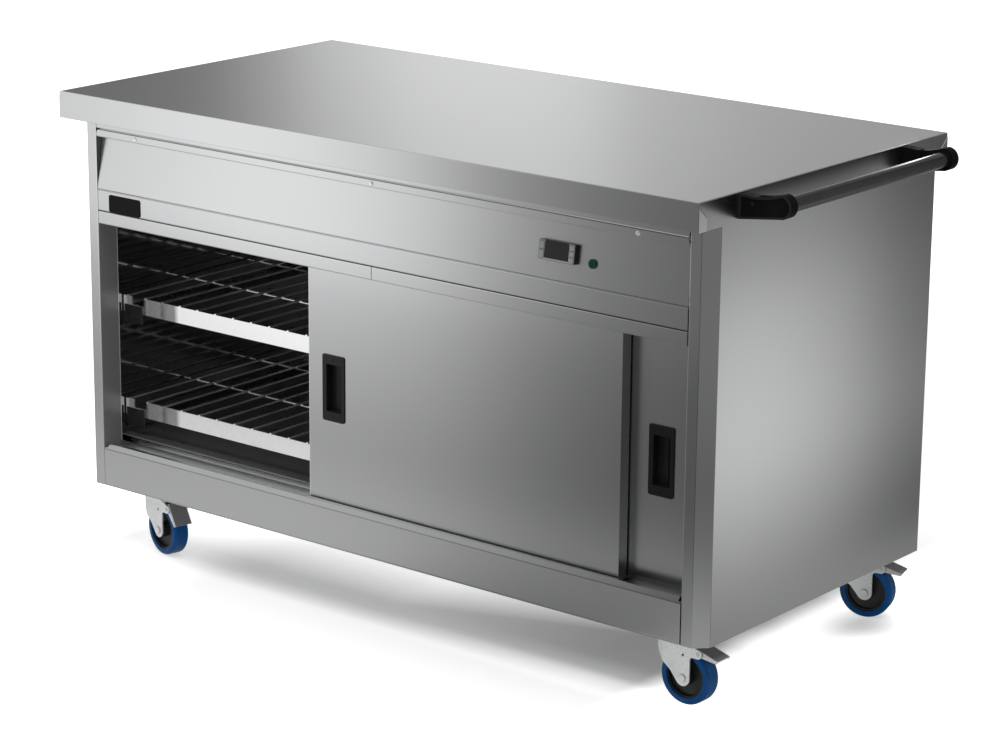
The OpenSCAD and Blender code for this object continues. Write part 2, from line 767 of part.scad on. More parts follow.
// Door skin: a pan with slots for the hanger tabs and a cut-out for the pull
function hanger_x(s) = s * (door_width / 2 - hanger_inset);
function recess_x(share) = share * pull_width;
module door_skin(x, y, pull_side) color(steel) place() translate([x, y, 0]) difference() {
    half = door_width / 2;
    cup_edge = cup_wall + hole_clear;
    cup = [recess_x(recess_left_share) - cup_edge, recess_x(recess_right_share) + cup_edge];
    cup_z = pull_height * recess_height_share / 2 + cup_edge;
    box([-half, 0, door_z], [half, door_thick, door_top]);
    box([panel_sheet - half, panel_sheet, door_z + panel_sheet],
        [half - panel_sheet, door_thick + over, door_top - panel_sheet]);
    for (s = [-1, 1]) translate([hanger_x(s), 0, 0])
        box([-tab_width / 2 - hole_clear, tab_off - hole_clear, door_top - panel_sheet - over],
            [tab_width / 2 + hole_clear, tab_off + tab_sheet + hole_clear, door_top + over]);
    translate([pull_side * (half - pull_inset - pull_width / 2), 0, pull_z])
        box([cup[0], -over, -cup_z], [cup[1], panel_sheet + over, cup_z]);
}
// Inner door skin, folded over at the top, with hanger tabs and roller pins
module door_liner(x, y) color(dark_steel) place() translate([x, y, 0]) {
    half = door_width / 2 - panel_sheet - hole_clear;
    top = door_top - panel_sheet;
    box([-half, door_thick - panel_sheet, door_z + panel_sheet + hole_clear], [half, door_thick, top]);
    box([-half, tab_off, top - panel_sheet], [half, door_thick, top]);
    for (s = [-1, 1]) translate([hanger_x(s), 0, 0]) {
        box([-tab_width / 2, tab_off, top - panel_sheet], [tab_width / 2, tab_off + tab_sheet, roller_z]);
        along_y(tab_off, tab_off + tab_sheet) translate([0, roller_z]) circle(tab_width / 2);
        rod_y(0, roller_z, tab_off, pin_end + pin_head, roller_pin_r);
        rod_y(0, roller_z, pin_end, pin_end + pin_head, pin_head_r);
    }
}
// Recessed pull: a thin rim and a cup, deep on one side and sloping on the other
module door_pull(x, y, pull_side) color(black) place()
    translate([x + pull_side * (door_width / 2 - pull_inset - pull_width / 2), y, pull_z]) difference() {
        cup_z = pull_height * recess_height_share / 2;
        left = recess_x(recess_left_share);
        flat = recess_x(recess_flat_share);
        right = recess_x(recess_right_share);
        union() {
            along_y(-rim_proud, 0) round_square(pull_width, pull_height, rim_round);
            box([left - cup_wall, -over, -cup_z - cup_wall],
                [right + cup_wall, pull_depth, cup_z + cup_wall]);
        }
        translate([0, 0, -cup_z]) linear_extrude(2 * cup_z) polygon([
            [left, -rim_proud - over], [left, pull_depth - cup_wall],
            [flat, pull_depth - cup_wall], [right, -rim_proud], [right, -rim_proud - over]
        ]);
    }
module roller(x, y, s) color(black) place()
    translate([x + hanger_x(s), y + roller_off, roller_z]) rotate([-90, 0, 0]) difference() {
        cylinder(h = roller_width, r = roller_r);
        translate([0, 0, -over]) cylinder(h = roller_width + 2 * over, r = roller_pin_r + fit);
    }
module front_door_skin() { door_skin(front_door_x, front_door_y, -1); }
module front_door_liner() { door_liner(front_door_x, front_door_y); }
module front_door_pull() { door_pull(front_door_x, front_door_y, -1); }
module rear_door_skin() { door_skin(rear_door_x, rear_door_y, 1); }
module rear_door_liner() { door_liner(rear_door_x, rear_door_y); }
module rear_door_pull() { door_pull(rear_door_x, rear_door_y, 1); }

// Casters
module caster_place(i) {
    translate([caster_sides[i] * caster_x, caster_ys[i], 0]) rotate([0, 0, caster_turns[i]]) children();
}
// Top plate with its bolt holes, upper race and headed kingpin
module caster_plate() {
    under = body_bottom - plate_sheet;
    difference() {
        box([-plate_x / 2, -plate_y / 2, under], [plate_x / 2, plate_y / 2, body_bottom]);
        hole_x = plate_x / 2 - plate_hole_inset;
        hole_y = plate_y / 2 - plate_hole_inset;
        for (sx = [-1, 1], sy = [-1, 1]) translate([sx * hole_x, sy * hole_y, under - over])
            cylinder(h = plate_sheet + 2 * over, r = plate_hole_r);
    }
    translate([0, 0, under - race_height]) cylinder(h = race_height + over, r = race_r);
    translate([0, 0, crown_z - crown_height - gap - head_height])
        cylinder(h = head_height, r = head_r);
    translate([0, 0, crown_z - crown_height - gap - head_height])
        cylinder(h = head_height + gap + crown_height + gap + over, r = pin_r);
}
module caster_plates() color(zinc) place() for (i = [0 : 3])
    translate([caster_sides[i] * caster_x, caster_ys[i], 0]) caster_plate();

// Side view of the fork: swept leg down to the axle, arm out to the brake pivot
module fork_side() {
    front_x = trail + leg_r;
    arm_z = pivot_z - pivot_eye;
    translate([trail, wheel_r]) circle(leg_r);
    translate([pivot_x, pivot_z]) circle(pivot_eye);
    polygon([
        [-race_r, crown_z], [race_r, crown_z], [pivot_x, pivot_z + pivot_eye], [pivot_x, arm_z],
        [front_x, arm_z], [front_x, wheel_r],
        [trail + leg_r * cos(leg_tangent), wheel_r + leg_r * sin(leg_tangent)],
        [trail - ankle_in_share * leg_r, wheel_r + ankle_up_share * leg_r],
        [-knee_out_share * race_r, wheel_r + knee_up_share * leg_r],
        [-race_r, crown_z - crown_height]
    ]);
    translate([front_x, arm_z - throat_r]) difference() {
        square(throat_r);
        translate([throat_r, 0]) circle(throat_r);
    }
}
// Plan of the fork: two cheeks joined round the back
module fork_plan(half) {
    circle(half);
    translate([0, -half]) square([pivot_x + 2 * pivot_eye, 2 * half]);
}
module fork(i) color(zinc) place() caster_place(i) {
    difference() {
        union() {
            intersection() {
                along_y(-fork_half, fork_half) fork_side();
                linear_extrude(crown_z) difference() {
                    fork_plan(fork_half);
                    fork_plan(cheek_gap);
                }
            }
            translate([0, 0, crown_z - crown_height]) cylinder(h = crown_height, r = race_r);
        }
        translate([0, 0, crown_z - crown_height - over])
            cylinder(h = crown_height + 2 * over, r = pin_r + fit);
        rod_y(pivot_x, pivot_z, -fork_half - over, fork_half + over, pivot_pin_r + fit);
        rod_y(trail, wheel_r + cheek_hole_rise, -fork_half - over, fork_half + over, cheek_hole_r);
    }
    rod_y(trail, wheel_r, -fork_half - axle_head, fork_half + axle_head, axle_r);
    rod_y(trail, wheel_r, -fork_half - axle_head, -fork_half, axle_head_r);
    rod_y(trail, wheel_r, fork_half, fork_half + axle_head, axle_head_r);
}
// Half section of the hub and of the tyre, drawn as radius and width
module hub(i) color(black) place() caster_place(i) translate([trail, 0, wheel_r]) rotate([-90, 0, 0]) {
    rim_r = wheel_r - tyre_depth;
    half = tyre_width / 2;
    rotate_extrude() polygon([
        [axle_r + fit, -half - hub_side], [boss_r, -half - hub_side], [boss_r, -half * web_share],
        [rim_r - hub_side, -half * web_share], [rim_r - hub_side, -half + hub_side],
        [rim_r, -half + hub_side], [rim_r, half - hub_side],
        [rim_r - hub_side, half - hub_side], [rim_r - hub_side, half * web_share],
        [boss_r, half * web_share], [boss_r, half + hub_side], [axle_r + fit, half + hub_side]
    ]);
}
module tyre(i) color(blue) place() caster_place(i) translate([trail, 0, wheel_r]) rotate([-90, 0, 0]) {
    rim_r = wheel_r - tyre_depth;
    half = tyre_width / 2;
    round_r = tyre_depth * tyre_round_share;
    rotate_extrude($fn = 72) {
        translate([rim_r, -half]) square([tyre_depth - round_r, tyre_width]);
        translate([rim_r, round_r - half]) square([tyre_depth, tyre_width - 2 * round_r]);
        for (s = [-1, 1]) translate([wheel_r - round_r, s * (half - round_r)]) circle(round_r, $fn = 24);
    }
}
// Brake pedal: pressed lever with tapering sides, a ribbed tread and a pin through the fork's arms
module pedal(i) color(black) place() caster_place(i)
    translate([pivot_x, 0, pivot_z]) rotate([0, pedal_released + caster_pressed[i] * pedal_press, 0]) {
        half = cheek_gap - lug_clear;
        top = tread_lift + tread_sheet;
        step = (tread_out + tread_back) / tread_ribs;
        rod_y(0, 0, -fork_half - pivot_proud, fork_half + pivot_proud, pivot_pin_r);
        box([-tread_back, -half, tread_lift], [tread_out, half, top]);
        for (k = [1 : tread_ribs - 1]) translate([k * step - tread_back, 0, 0])
            box([-tread_rib, lug_sheet - half, tread_lift], [tread_rib, half - lug_sheet, top + tread_rib]);
        for (s = [-1, 1]) scale([1, s, 1]) along_y(half - lug_sheet, half) {
            circle(lug_r);
            polygon([
                [-tread_back, top], [-lug_share * lug_r, 0], [0, -lug_share * lug_r],
                [tread_out, tread_lift - tip_depth], [tread_out, top]
            ]);
        }
    }

counter_top();
insulated_deck();
end_panel_left();
end_panel_right();
back_panel();
base_pan();
service_tray();
front_plinth();
lower_track();
upper_track();
trim_strip();
control_fascia();
top_rail();
header_cover_left();
header_cover_right();
controller_case();
display_window();
indicator_lamp();
liner();
liner_floor();
shelf_runners();
upper_shelf();
lower_shelf();
heating_element();
temperature_probe();
cable_gland();
handle_brackets();
handle_tube();
caster_plates();
front_door_skin();
front_door_liner();
front_door_pull();
rear_door_skin();
rear_door_liner();
rear_door_pull();
roller(front_door_x, front_door_y, -1);  // roller_front_left
roller(front_door_x, front_door_y, 1);  // roller_front_right
roller(rear_door_x, rear_door_y, -1);  // roller_rear_left
roller(rear_door_x, rear_door_y, 1);  // roller_rear_right
for (i = [0 : 1]) key(-1, i, 2);
for (i = [0 : 2]) key(1, i, 3);
for (i = [0 : 3]) {
    fork(i);
    hub(i);
    tyre(i);
    pedal(i);
}
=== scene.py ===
"""Mobile hot cupboard: finishes, small fittings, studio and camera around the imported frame."""
import json
import math

import bmesh
import bpy
from mathutils import Matrix, Vector


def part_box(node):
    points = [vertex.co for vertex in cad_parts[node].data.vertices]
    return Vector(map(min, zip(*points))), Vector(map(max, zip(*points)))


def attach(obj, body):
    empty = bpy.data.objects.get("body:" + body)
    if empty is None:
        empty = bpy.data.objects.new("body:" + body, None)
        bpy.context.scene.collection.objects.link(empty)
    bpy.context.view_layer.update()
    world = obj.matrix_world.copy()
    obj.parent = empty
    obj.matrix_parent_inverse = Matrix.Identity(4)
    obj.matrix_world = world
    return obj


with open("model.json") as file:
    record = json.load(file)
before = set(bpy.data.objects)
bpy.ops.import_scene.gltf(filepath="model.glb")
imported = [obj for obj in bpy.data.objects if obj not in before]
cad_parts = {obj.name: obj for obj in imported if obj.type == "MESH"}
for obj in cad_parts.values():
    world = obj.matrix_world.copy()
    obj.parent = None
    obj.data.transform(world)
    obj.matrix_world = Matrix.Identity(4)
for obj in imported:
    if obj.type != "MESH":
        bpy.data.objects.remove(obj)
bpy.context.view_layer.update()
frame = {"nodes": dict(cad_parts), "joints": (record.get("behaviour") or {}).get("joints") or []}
nodes = frame["nodes"]
MM = 0.001
CORNERS = ("fl", "fr", "bl", "br")
KEYS = ("key_left_1", "key_left_2", "key_right_1", "key_right_2", "key_right_3")

# Places on the nodes that the materials follow
FASCIA_LEAN = math.atan2(15, 100.5)
TREAD_LIFT = 6 * MM
TREAD_HALF = 17 * MM
STILE_RETURN = 49 * MM
SILL_RISE = 9 * MM
PEDAL_TILTS = {"fl": 57, "fr": 17, "bl": 17, "br": 17}


def each(stem):
    """Names of one kind of piece at all four casters."""
    return [f"{stem}_{corner}" for corner in CORNERS]


def joint_named(name):
    return next(joint for joint in frame["joints"] if joint["name"] == name)


def add_object(name, data):
    made = bpy.data.objects.new(name, data)
    bpy.context.scene.collection.objects.link(made)
    return made


# Materials

STEEL = (0.585, 0.59, 0.595)
WHITE = (1, 1, 1, 1)
MIX_FIRST, MIX_SECOND, MIX_RESULT = 6, 7, 2
LINEAR = (0, 1)
SHARP = (0.4, 0.6)


def scaled(colour, factor):
    return tuple(c * factor for c in colour)


def sum_node(tree, operation, first, second=None):
    """One sum on sockets or plain numbers, as a node of a tree."""
    node = tree.nodes.new("ShaderNodeMath")
    node.operation = operation
    for value, target in zip((first, second), node.inputs):
        if isinstance(value, (int, float)):
            target.default_value = value
        elif value is not None:
            tree.links.new(value, target)
    return node.outputs["Value"]


class Finish:
    """A procedural material around one Principled shader, with its textures in object space."""

    def __init__(self, name, colour, roughness, metallic=0.0, **sockets):
        self.material = bpy.data.materials.new(name)
        self.material.use_nodes = True
        self.tree = self.material.node_tree
        self.shader = self.tree.nodes["Principled BSDF"]
        self.shader.inputs["Base Color"].default_value = (*colour, 1)
        self.shader.inputs["Metallic"].default_value = metallic
        self.shader.inputs["Roughness"].default_value = roughness
        for socket, value in sockets.items():
            self.shader.inputs[socket.replace("_", " ")].default_value = value
        self.colour = colour
        self.roughness = roughness
        self.coords = self.add("ShaderNodeTexCoord").outputs["Object"]

    def add(self, kind, **settings):
        node = self.tree.nodes.new(kind)
        for key, value in settings.items():
            setattr(node, key, value)
        return node

    def link(self, source, target):
        self.tree.links.new(source, target)

    def math(self, operation, first, second=None):
        return sum_node(self.tree, operation, first, second)

    def times(self, first, second):
        return self.math("MULTIPLY", first, second)

    def plus(self, first, second):
        return self.math("ADD", first, second)

    def split(self, vector):
        """The three parts of a vector."""
        node = self.add("ShaderNodeSeparateXYZ")
        self.link(vector, node.inputs["Vector"])
        return node.outputs

    def normals(self):
        return self.split(self.add("ShaderNodeNewGeometry").outputs["Normal"])

    def off_middle(self, box, axis):
        """Distance from a box's middle along an axis, and half of the box's length along it."""
        low, high = (getattr(corner, axis) for corner in box)
        place = self.split(self.coords)[axis.upper()]
        gap = self.math("ABSOLUTE", self.math("SUBTRACT", place, (low + high) / 2))
        return gap, (high - low) / 2

    def noise(self, scale, stretch=(1, 1, 1), detail=3.0):
        """Noise whose features are 1/scale metres across, drawn out by the stretch."""
        mapping = self.add("ShaderNodeMapping")
        mapping.inputs["Scale"].default_value = [1 / s for s in stretch]
        self.link(self.coords, mapping.inputs["Vector"])
        texture = self.add("ShaderNodeTexNoise")
        texture.inputs["Scale"].default_value = scale
        texture.inputs["Detail"].default_value = detail
        self.link(mapping.outputs["Vector"], texture.inputs["Vector"])
        return texture.outputs["Fac"]

    def remap(self, factor, low, high, from_low=0.3, from_high=0.7):
        node = self.add("ShaderNodeMapRange")
        node.inputs["From Min"].default_value = from_low
        node.inputs["From Max"].default_value = from_high
        node.inputs["To Min"].default_value = low
        node.inputs["To Max"].default_value = high
        self.link(factor, node.inputs["Value"])
        return node.outputs["Result"]

    def ease(self, factor, low, high, from_low, from_high):
        """A remap with soft ends."""
        result = self.remap(factor, low, high, from_low, from_high)
        result.node.interpolation_type = "SMOOTHSTEP"
        return result

    def tint(self, factor, other, reach=(0.35, 0.65)):
        """Blends the base colour into another colour where the factor is high."""
        mix = self.add("ShaderNodeMix", data_type="RGBA")
        self.link(self.remap(factor, 0, 1, *reach), mix.inputs["Factor"])
        base = self.shader.inputs["Base Color"]
        if base.is_linked:
            self.link(base.links[0].from_socket, mix.inputs[MIX_FIRST])
        else:
            mix.inputs[MIX_FIRST].default_value = (*self.colour, 1)
        mix.inputs[MIX_SECOND].default_value = (*other, 1)
        self.link(mix.outputs[MIX_RESULT], base)

    def shine(self, strength):
        """Adds light where a rounded or polished edge catches the lamps."""
        self.shader.inputs["Emission Color"].default_value = WHITE
        self.link(strength, self.shader.inputs["Emission Strength"])
        self.material.cycles.emission_sampling = "NONE"

    def vary_roughness(self, factor, spread):
        low, high = self.roughness - spread, self.roughness + spread
        self.link(self.remap(factor, low, high), self.shader.inputs["Roughness"])

    def bump(self, factor, height, strength):
        node = self.add("ShaderNodeBump")
        node.inputs["Distance"].default_value = height
        node.inputs["Strength"].default_value = strength
        self.link(factor, node.inputs["Height"])
        self.link(node.outputs["Normal"], self.shader.inputs["Normal"])


def steel_finish(name, along):
    """Satin stainless sheet: hair-fine polishing lines along one axis and faint handling marks."""
    line_scale = 2600
    line_stretch = 120.0
    finish = Finish(name, STEEL, metallic=1.0, roughness=0.27)
    stretch = [1.0, 1.0, 1.0]
    stretch["xyz".index(along)] = line_stretch
    lines = finish.noise(line_scale, stretch, detail=1)
    clouds = finish.noise(4, detail=3)
    finish.tint(clouds, scaled(STEEL, 0.985))
    finish.tint(lines, scaled(STEEL, 1.002))
    finish.vary_roughness(lines, 0.0015)
    return finish


def panel_steel():
    """Satin stainless sheet; the faces that look into the cabinet get painted shade, a darker and
    less metallic colour, deepest above the top rail, and a painted highlight, a pale line, along
    their back edge.
    """
    inner_metallic = 0.45
    inner_shade = 0.45
    upper_shade = 0.1
    painted_edge_highlight = (0.95, 0.95, 0.95)
    turned_in = (-0.6, -0.3)
    finish = steel_finish("panel_steel", "z")
    low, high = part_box("counter_top")
    place = finish.split(finish.coords)
    offset = finish.math("SUBTRACT", place["X"], (low.x + high.x) / 2)
    outward = finish.times(offset, finish.normals()["X"])
    plain = finish.remap(outward, inner_metallic, 1, *turned_in)
    finish.link(plain, finish.shader.inputs["Metallic"])
    # Painted shade on the faces that look into the cabinet, deeper above the top rail
    inner = finish.remap(outward, 1, 0, *turned_in)
    finish.tint(inner, scaled(STEEL, inner_shade))
    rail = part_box("top_rail")[0].z
    above = finish.remap(place["Z"], 0, 1, rail, rail + 5 * MM)
    finish.tint(finish.times(inner, above), scaled(STEEL, upper_shade))
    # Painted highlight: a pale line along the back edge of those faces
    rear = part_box("end_panel_left")[0].y + STILE_RETURN
    last = finish.remap(place["Y"], 0, 1, rear - 1.8 * MM, rear - 1.5 * MM)
    finish.tint(finish.times(inner, last), painted_edge_highlight)
    return finish.material


def plinth_steel():
    """Satin stainless sheet whose sill, which looks up, carries painted shade, darker towards its
    right end, with a painted shade line along the fold at its foot.
    """
    left_shade, right_shade, fold_shade = 0.66, 0.43, 0.42
    finish = steel_finish("plinth_steel", "x")
    place = finish.split(finish.coords)
    # Painted shade on the sill, deeper towards its right end
    rise = finish.normals()["Z"]
    sloped = finish.remap(rise, 0, 1, 0.2, 0.4)
    not_level = finish.remap(rise, 1, 0, 0.85, 0.95)
    sill = finish.times(sloped, not_level)
    finish.tint(sill, scaled(STEEL, left_shade), LINEAR)
    rightward = finish.remap(place["X"], 0, 1, -0.55, 0.3)
    finish.tint(finish.times(sill, rightward), scaled(STEEL, right_shade), LINEAR)
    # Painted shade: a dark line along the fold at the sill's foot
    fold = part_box("front_plinth")[1].z - SILL_RISE
    gap = finish.math("ABSOLUTE", finish.math("SUBTRACT", place["Z"], fold))
    line = finish.remap(gap, 1, 0, 0.5 * MM, 1.1 * MM)
    finish.tint(line, scaled(STEEL, fold_shade), LINEAR)
    return finish.material


def fascia_steel():
    """Satin stainless sheet with a painted highlight, a glow, on its upward faces along the top
    edge.
    """
    finish = steel_finish("fascia_steel", "x")
    # Painted highlight: glow on the upward faces
    finish.shine(finish.remap(finish.normals()["Z"], 0, 0.22, 0.9, 0.97))
    return finish.material


def door_steel():
    """Satin stainless sheet with a painted highlight, a glow, along its rounded left edge."""
    finish = steel_finish("door_steel", "x")
    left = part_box("front_door_skin")[0].x
    place = finish.split(finish.coords)
    # Painted highlight: glow along the left edge
    finish.shine(finish.remap(place["X"], 0.2, 0, left + 1 * MM, left + 1.6 * MM))
    return finish.material


def counter_steel():
    """Satin stainless sheet whose corner tabs carry a painted highlight, a lighter colour."""
    tab_gain = 1.33
    finish = steel_finish("counter_steel", "x")
    offset, edge = finish.off_middle(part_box("counter_top"), "x")
    # Painted highlight: the corner tabs are lighter
    tab = finish.remap(offset, 0, 1, edge - 0.7 * MM, edge - 0.5 * MM)
    finish.tint(tab, scaled(STEEL, tab_gain))
    return finish.material


def liner_steel():
    """Inner sheets: rolled stainless, dark as painted shade of the closed compartment, yellowed by
    heat, polished and wavy at the sides, with a painted highlight along the front edge.
    """
    heated = (0.23, 0.225, 0.218)
    painted_edge_highlight = (0.75, 0.75, 0.75)
    polished = (0.45, 0.45, 0.45)
    # Dark colour: painted shade of the closed compartment
    finish = Finish("liner_steel", (0.26, 0.26, 0.262), metallic=0.75, roughness=0.3)
    finish.tint(finish.noise(7, detail=4), heated)
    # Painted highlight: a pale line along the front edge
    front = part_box("liner")[0].y
    depth = finish.split(finish.coords)["Y"]
    finish.tint(finish.remap(depth, 1, 0, front + 1 * MM, front + 1.5 * MM), painted_edge_highlight)
    wall = finish.remap(finish.math("ABSOLUTE", finish.normals()["X"]), 0, 1, 0.5, 0.8)
    finish.tint(wall, polished, LINEAR)
    finish.link(finish.remap(wall, 0.75, 1.0, 0, 1), finish.shader.inputs["Metallic"])
    satin = finish.remap(finish.noise(40, detail=3), 0.27, 0.33)
    rough = finish.times(satin, finish.remap(wall, 1.0, 0.2, 0, 1))
    finish.link(rough, finish.shader.inputs["Roughness"])
    finish.bump(finish.noise(4, detail=0), 2 * MM, 0.6)
    return finish.material


def clip_steel():
    """Shelf runners and clips: rolled sheet that mirrors the dark compartment, coloured very dark
    as painted shade.
    """
    # Very dark colour: painted shade of the dark compartment
    colour = (0.07, 0.07, 0.071)
    finish = Finish("clip_steel", colour, metallic=0.7, roughness=0.28)
    finish.tint(finish.noise(12, detail=3), scaled(colour, 1.25))
    finish.vary_roughness(finish.noise(50, detail=3), 0.04)
    return finish.material


def shelf_chrome():
    """Bright plated wire, milky where the plating is thick; the bars' fronts carry a painted dark
    reflection a little way in from their left ends, and a painted highlight, a glow, on their stubs
    and along the rest, stronger on the upper shelf.
    """
    colour = (0.93, 0.93, 0.93)
    milky = (0.89, 0.9, 0.9)
    shade = 0.42
    lower_light, upper_light, stub_light = 0.08, 0.25, 0.1
    finish = Finish("shelf_chrome", colour, metallic=0.92, roughness=0.16)
    finish.tint(finish.noise(60, detail=3), milky)
    finish.vary_roughness(finish.noise(140, detail=2), 0.06)
    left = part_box("upper_shelf")[0].x
    between = (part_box("lower_shelf")[1].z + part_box("upper_shelf")[0].z) / 2
    place = finish.split(finish.coords)
    front = finish.remap(finish.normals()["Y"], 1, 0, -0.97, -0.9)
    stub = finish.remap(place["X"], 1, 0, left + 40 * MM, left + 45 * MM)
    # Painted dark reflection on the bars' fronts, a little way in from the left end
    shade_from = finish.remap(place["X"], 0, 1, left + 95 * MM, left + 101 * MM)
    clear = finish.remap(place["X"], 0, 1, left + 134 * MM, left + 146 * MM)
    shaded = finish.math("SUBTRACT", shade_from, clear)
    finish.tint(finish.times(front, shaded), scaled(colour, shade), LINEAR)
    # Painted highlight: glow on the bars' fronts, stronger on the upper shelf, faint on the stubs
    level = finish.remap(place["Z"], lower_light, upper_light, between - 1 * MM, between + 1 * MM)
    lit = finish.plus(finish.times(clear, level), finish.times(stub, stub_light))
    finish.shine(finish.times(front, lit))
    return finish.material


def zinc_finish(name, colour, roughness, metallic):
    """Zinc plating with its fine crystalline mottle, with painted shade on the parts at the back
    and painted shade in its creases.
    """
    finish = Finish(name, colour, metallic=metallic, roughness=roughness)
    spangle = finish.noise(260, detail=2)
    finish.tint(spangle, scaled(colour, 0.88))
    finish.tint(finish.noise(35, detail=4), scaled(colour, 0.84), (0.5, 0.75))
    finish.vary_roughness(spangle, 0.08)
    finish.bump(spangle, 0.03 * MM, 0.4)
    # Painted shade on the parts behind the cabinet's middle
    depth = finish.split(finish.coords)["Y"]
    finish.tint(finish.remap(depth, 0, 1, 0.0, 0.1), scaled(colour, 0.62))
    # Painted shade in the creases, from ambient occlusion
    crease = finish.add("ShaderNodeAmbientOcclusion", samples=8)
    crease.inputs["Distance"].default_value = 5 * MM
    crease_shade = finish.math("SUBTRACT", 1, crease.outputs["AO"])
    finish.tint(crease_shade, scaled(colour, 0.2), (0.12, 0.7))
    return finish


def screw_plate():
    """Bright zinc plating on small heads, with a painted highlight, a mottled glow."""
    finish = zinc_finish("screw_plate", (0.86, 0.86, 0.85), 0.25, 0.9)
    # Painted highlight: a mottled glow
    finish.shine(finish.remap(finish.noise(260, detail=2), 0.12, 0.3))
    return finish.material


def pedal_steel(corner, tilt):
    """Zinc-plated lever whose tread, between its side plates, is dark and ribbed."""
    tread_colour = (0.17, 0.171, 0.174)
    metallic = 0.55
    finish = zinc_finish("pedal_steel_" + corner, (0.84, 0.85, 0.86), 0.34, metallic)
    joint = joint_named(f"brake_{corner}_press")
    turn = math.atan2(-joint["axis"][0], joint["axis"][1])
    own = finish.add("ShaderNodeMapping", vector_type="TEXTURE")
    own.inputs["Location"].default_value = joint["pos_m"]
    own.inputs["Rotation"].default_value = (0, math.radians(tilt), turn)
    finish.link(finish.coords, own.inputs["Vector"])
    place = finish.split(own.outputs["Vector"])
    above = finish.remap(place["Z"], 0, 1, TREAD_LIFT, TREAD_LIFT + 0.2 * MM)
    side = finish.math("ABSOLUTE", place["Y"])
    between = finish.remap(side, 1, 0, TREAD_HALF, TREAD_HALF + 0.2 * MM)
    tread = finish.times(above, between)
    finish.tint(tread, tread_colour, SHARP)
    finish.link(finish.remap(tread, metallic, 0.0, *SHARP), finish.shader.inputs["Metallic"])
    return finish.material


def heater_sheath():
    """Incoloy tube, oxidised to a mottled dark grey."""
    finish = Finish("heater_sheath", (0.10, 0.095, 0.09), metallic=0.8, roughness=0.55)
    finish.tint(finish.noise(55, detail=5), (0.17, 0.14, 0.11))
    finish.bump(finish.noise(700, detail=2), 0.05 * MM, 0.5)
    return finish.material


def moulded_finish(name, colour, roughness, lift=1.7, sheen=0.07, **sockets):
    """Moulded plastic: spark-eroded grain, slight sheen changes and paler scuffs."""
    finish = Finish(name, colour, roughness=roughness, **sockets)
    finish.tint(finish.noise(28, detail=5), scaled(colour, lift), (0.52, 0.8))
    finish.vary_roughness(finish.noise(60, detail=4), sheen)
    finish.bump(finish.noise(900, detail=2), 0.04 * MM, 0.5)
    return finish


def moulded(name, colour, roughness, **more):
    return moulded_finish(name, colour, roughness, **more).material


def controller_shell():
    """Black moulded case with a silver front round its window, open at the window's top."""
    silver_paint = (0.34, 0.35, 0.36)
    finish = moulded_finish("controller_shell", (0.012, 0.012, 0.013), 0.36)
    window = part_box("display_window")
    offset, half = finish.off_middle(window, "x")
    beside = finish.remap(offset, 0, 1, half, half + 0.2 * MM)
    bottom = window[0].z
    below = finish.remap(finish.split(finish.coords)["Z"], 1, 0, bottom, bottom + 0.2 * MM)
    facing_out = finish.add("ShaderNodeVectorMath", operation="DOT_PRODUCT")
    finish.link(finish.add("ShaderNodeNewGeometry").outputs["Normal"], facing_out.inputs[0])
    facing_out.inputs[1].default_value = (0, -math.cos(FASCIA_LEAN), math.sin(FASCIA_LEAN))
    ahead = finish.remap(facing_out.outputs["Value"], 0, 1, 0.93, 0.96)
    silver = finish.times(finish.math("MAXIMUM", beside, below), ahead)
    finish.tint(silver, silver_paint, SHARP)
    return finish.material


def bracket_plastic():
    """Black moulding with a painted highlight, a paler colour, on the rim round its sunk outer
    face.
    """
    finish = moulded_finish("bracket_plastic", (0.006, 0.006, 0.0065), 0.3,
                            Specular_IOR_Level=0.01, sheen=0.02)
    offset, edge = finish.off_middle(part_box("handle_brackets"), "y")
    # Painted highlight: a paler rim
    rim = finish.remap(offset, 0, 1, edge - 0.8 * MM, edge - 0.4 * MM)
    finish.tint(rim, (0.02, 0.02, 0.021))
    return finish.material


def tube_coat():
    """Dark powder coat with a fine orange peel."""
    colour = (0.013, 0.013, 0.014)
    finish = Finish("tube_coat", colour, roughness=0.2, Specular_IOR_Level=0.5)
    peel = finish.noise(420, detail=1)
    finish.tint(finish.noise(18, detail=4), scaled(colour, 1.35), (0.5, 0.8))
    finish.vary_roughness(peel, 0.03)
    finish.bump(peel, 0.03 * MM, 0.4)
    return finish.material


def tyre_rubber():
    """Blue elastic rubber with darker patches."""
    colour = (0.0015, 0.062, 0.21)
    finish = Finish("tyre_rubber", colour, roughness=0.4, Specular_IOR_Level=0.15)
    finish.tint(finish.noise(45, detail=5), (0.002, 0.045, 0.14), (0.45, 0.75))
    finish.vary_roughness(finish.noise(120, detail=3), 0.08)
    finish.bump(finish.noise(1100, detail=2), 0.03 * MM, 0.5)
    return finish.material


def display_glass():
    """Black smoked window with a hard gloss and faint smears."""
    finish = Finish("display_glass", (0.006, 0.006, 0.007), roughness=0.12, Coat_Weight=0.4)
    finish.vary_roughness(finish.noise(90, (4, 1, 1), detail=4), 0.06)
    return finish.material


def lamp_lens():
    """Unlit green acrylic, darker in its depth."""
    colour = (0.002, 0.06, 0.032)
    finish = Finish("lamp_lens", colour, roughness=0.18, Specular_IOR_Level=0.25)
    finish.tint(finish.noise(500, detail=2), (0.001, 0.032, 0.018))
    finish.vary_roughness(finish.noise(300, detail=2), 0.05)
    return finish.material


